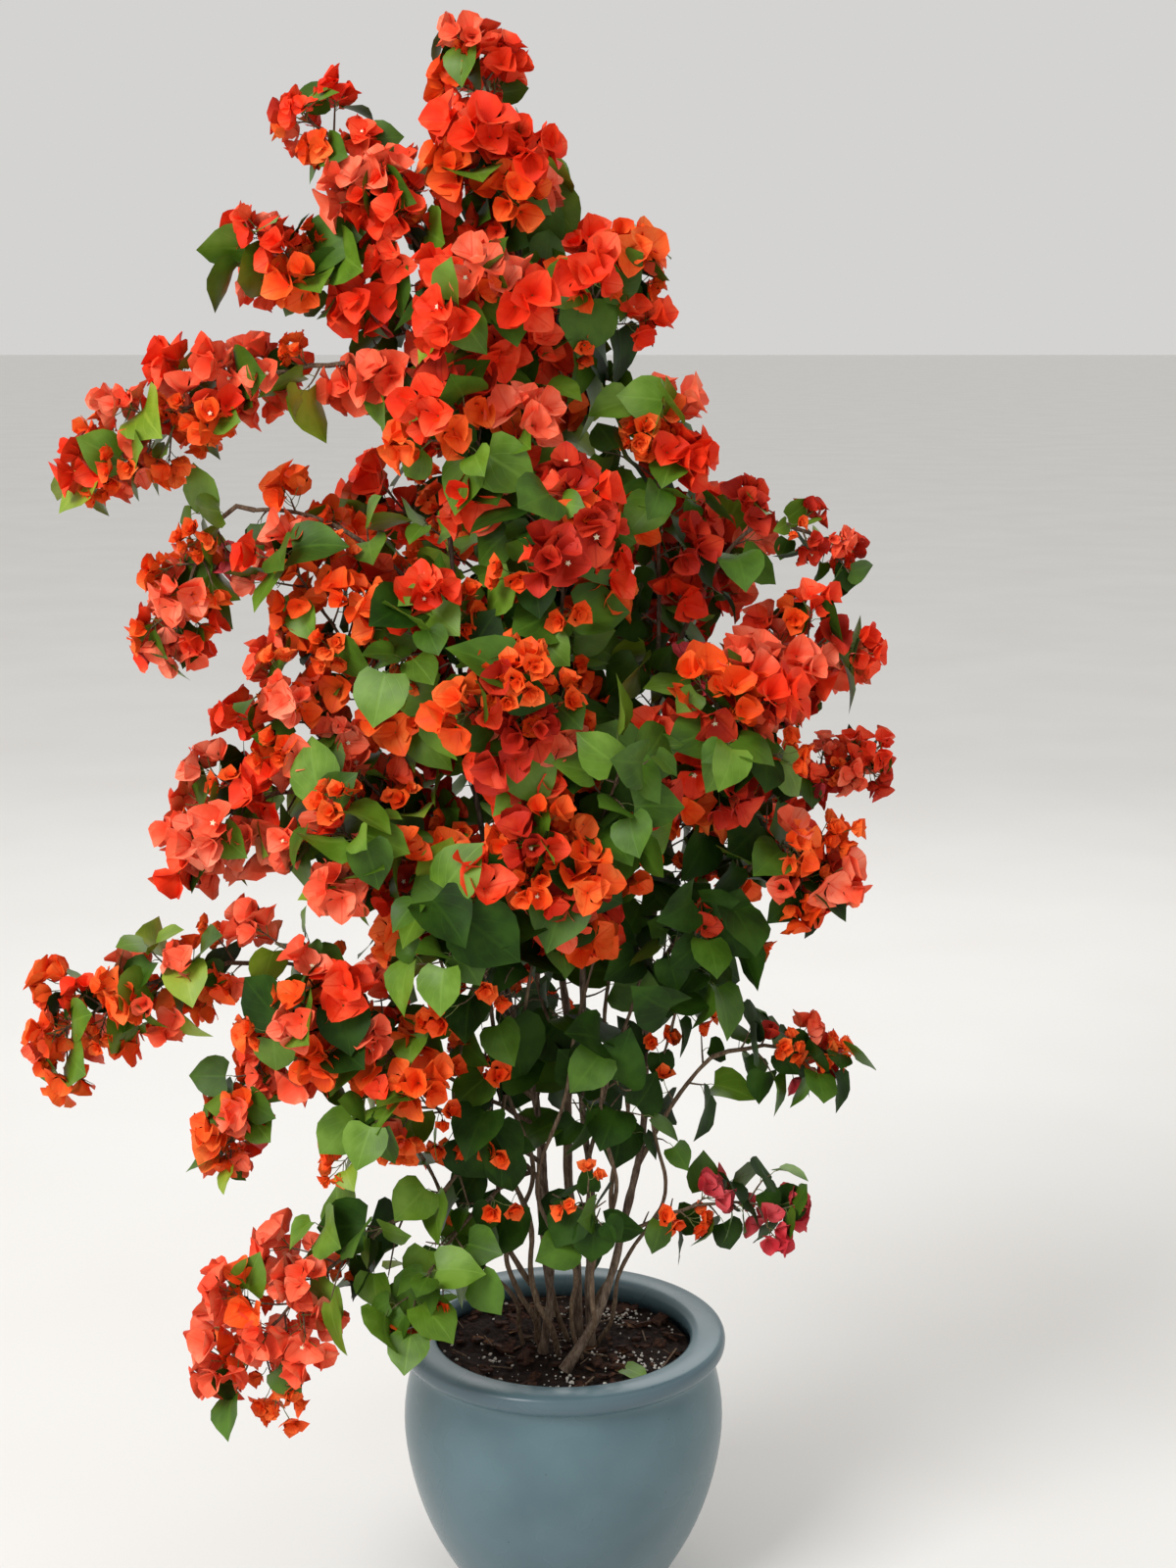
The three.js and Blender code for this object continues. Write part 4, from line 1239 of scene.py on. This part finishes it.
def primitive_shape(add, **settings):
    """A primitive's points and triangles, after which it is gone."""
    deselect_all()
    add(**settings)
    piece = bpy.context.object
    apply_modifier(piece, "TRIANGULATE")
    points = np.array([vertex.co for vertex in piece.data.vertices])
    faces = np.array([list(face.vertices) for face in piece.data.polygons])
    bpy.data.objects.remove(piece)
    return points, faces, np.zeros((len(points), 2))


def on_disc(rng, radius):
    out, turn = radius * math.sqrt(rng.random()), 2 * math.pi * rng.random()
    return Vector((out * math.cos(turn), out * math.sin(turn), 0))


GRAINS_TO = 155
CLUMPS_TO = 135
CLUMP_RADIUS = 24
IN_CLUMPS = 0.75
GRAIN_HEIGHT = 334


def scatter(name, shape, count, sizes, seed, finish, clumps=0):
    """Grains strewn over the mix, each turned and sized by lot, a share of them in clumps."""
    rng = random.Random(seed)
    rows = []
    middles = [on_disc(rng, CLUMPS_TO) for _ in range(clumps)]
    for _ in range(count):
        at = on_disc(rng, GRAINS_TO)
        if middles and rng.random() < IN_CLUMPS:
            at = rng.choice(middles) + on_disc(rng, CLUMP_RADIUS)
        at += UP * (GRAIN_HEIGHT + rng.uniform(-1, 3))
        spin = 2 * math.pi * rng.random()
        flat = Vector((math.cos(spin), math.sin(spin), rng.uniform(-0.35, 0.35))).normalized()
        up = square_to(Vector((rng.uniform(-0.4, 0.4), rng.uniform(-0.4, 0.4), 1)), flat)
        small = rng.random() ** 1.6
        wide, deep, tall = (low + (high - low) * small * rng.uniform(0.7, 1) for low, high in sizes)
        rows.append([tuple(flat * wide), tuple(up.cross(flat) * deep), tuple(up * tall), tuple(at)])
    SHAPES[name] = shape
    finish_piece(mesh_piece(name, *placed(name, rows)), name, finish, ["soil"])


camera = link_new("photo_camera", bpy.data.cameras.new("photo_camera"))
camera.data.lens = CAMERA_LENS
camera.location = CAMERA_AT
camera.rotation_euler = (math.pi / 2 - CAMERA_TIP, 0, 0)
bpy.context.scene.camera = camera

stem_bark = vine_bark("vine_bark", "#3e2f26", "#685749", "#8c7a69", 4)
cane_bark = vine_bark("cane_bark", "#4b3a2c", "#6a5644", "#85735c", 3)
green_stem = vine_bark("green_stem", "#4d5a2c", "#66753a", "#8a8f55", 3)
cream_petal = crumbly("cream_petal", "#d9cf9c", "#f0e8c4", "#fbf6e2", 3, 0.6)

# Dark, middle and light colour of each hue of leaf, its roughness, and its gloss. Light, middle and
# deep are one green painted lit, half shaded and in shade, the deep one duller in gloss to match;
# young is the yellow-green of new leaves, painted light as well, since the most lit leaves take it.
LEAF_COLORS_BY_LIGHT = {
    "light": ("#4b6c12", "#5a7d1b", "#6e9130", 0.45, 0.32),
    "middle": ("#32500b", "#3f6012", "#4e731d", 0.48, 0.28),
    "deep": ("#162d02", "#203d05", "#2d4c0c", 0.6, 0.16),
    "young": ("#6c8a1c", "#809a26", "#96ab38", 0.45, 0.32),
}
BRACT_COLORS = {
    "scarlet": ("#e22b06", "#f03c12", "#fb6038"),
    "coral": ("#ec4c28", "#f66a46", "#fd8e6e"),
    "orange": ("#e64408", "#f45c16", "#fc7c36"),
    # Scarlet darkened as painted shade.
    "brick": ("#ad1a06", "#c2290f", "#d6431f"),
    "rose": ("#bf2a34", "#d0424a", "#e26468"),
}
finishes = {
    "twigs": (cane_bark, "leaves"),
    "leaf_stalks": (green_stem, "leaves"),
    "bloom_stalks": (green_stem, "bracts"),
    "true_flowers": (cream_petal, "bracts"),
}
for hue, (dark, middle, light, roughness, gloss) in LEAF_COLORS_BY_LIGHT.items():
    finish = living_blade("leaf_" + hue, dark, middle, light, light, 7, 1.6, roughness, 0.55, gloss)
    finishes["leaves_" + hue] = (finish, "leaves")
for hue, (dark, middle, light) in BRACT_COLORS.items():
    finish = living_blade("papery_bract_" + hue, dark, middle, light, dark, 5, 1.9, 0.65, 0.6, 0.3)
    finishes["bracts_" + hue] = (finish, "bracts")

for order in range(len(MASSES)):
    grow_mass(order)
for order in range(len(LEAFY_LIMBS)):
    grow_on_limb(order)
# One fallen leaf lies on the mix.
fallen = Vector((0.83, -0.5, -0.06)).normalized()
fallen_up = square_to(Vector((0.1, -0.15, 1)), fallen)
put("leaves_light", "leaf_2", Vector((78, -84, 342)), fallen.cross(fallen_up), fallen, fallen_up, 34)
raise_growth(finishes)
stems_and_boughs(stem_bark, cane_bark)
glazed_pot(glazed_stoneware())
potting_mix(crumbly("peat_mix", "#0e0705", "#1d110c", "#342116", 6))

grain = primitive_shape(bpy.ops.mesh.primitive_ico_sphere_add, subdivisions=2, radius=1)
chip = primitive_shape(bpy.ops.mesh.primitive_cube_add, size=2)
perlite = crumbly("perlite", "#b3aea3", "#d0cbc1", "#e6e2da", 2)
dry_leaf = crumbly("dry_leaf", "#3a2417", "#5b3c26", "#7b5a3a", 8)
bark_chip = crumbly("pine_bark_chip", "#22130d", "#382217", "#553526", 5)
scatter("perlite_grains", grain, 340, ((0.7, 3.4), (0.7, 2.5), (0.6, 2.0)), 5, perlite, 13)
scatter("bark_chips", chip, 170, ((2.5, 13), (1.8, 8), (0.7, 2.6)), 6, bark_chip)
scatter("dry_sticks", chip, 30, ((9, 26), (0.5, 1.1), (0.5, 1.1)), 7, cane_bark)
scatter("leaf_litter", SHAPES["leaf_5"], 22, ((10, 20), (12, 26), (10, 20)), 8, dry_leaf)


def stage_floor():
    """Matt pale studio floor, faintly clouded, that lets the pot's shadow show."""
    deselect_all()
    bpy.ops.mesh.primitive_plane_add(size=240)
    floor = bpy.context.object
    floor.name = "floor"
    made, tree, place = new_material("matt_pale_floor")
    cloud = add_node(tree, "TexNoise", {"Vector": place, "Scale": 1.5, "Detail": 2.0})
    color = color_ramp(tree, cloud, [(0.3, "#e9e7e4"), (0.7, "#ecebe8")])
    finish_shader(tree, {"Base Color": color, "Roughness": 0.8})
    floor.data.materials.append(made)


# Lights: place, what they aim at, size in metres, and watts.
LIGHTS = {
    "key_light": ((-5.4, -5.8, 6.9), (0, 0, 1.0), 4.6, 740),
    "fill_light": ((3.2, -1.0, 2.6), (0, 0, 1.0), 2.5, 3),
    "back_light": ((0.5, 4.0, 3.4), (0, 0, 1.2), 2.5, 40),
}

stage_floor()
for name, (at, target, size, watts) in LIGHTS.items():
    lamp = link_new(name, bpy.data.lights.new(name, "AREA"))
    lamp.data.size = size
    lamp.data.energy = watts
    lamp.location = at
    lamp.rotation_euler = (Vector(target) - Vector(at)).to_track_quat("-Z", "Y").to_euler()

world = bpy.data.worlds.new("studio")
world.use_nodes = True
feed(world.node_tree, world.node_tree.nodes["Background"], {"Color": linear("#f2f1ef"), "Strength": 0.74})
bpy.context.scene.world = world
bpy.context.scene.view_settings.view_transform = "Standard"
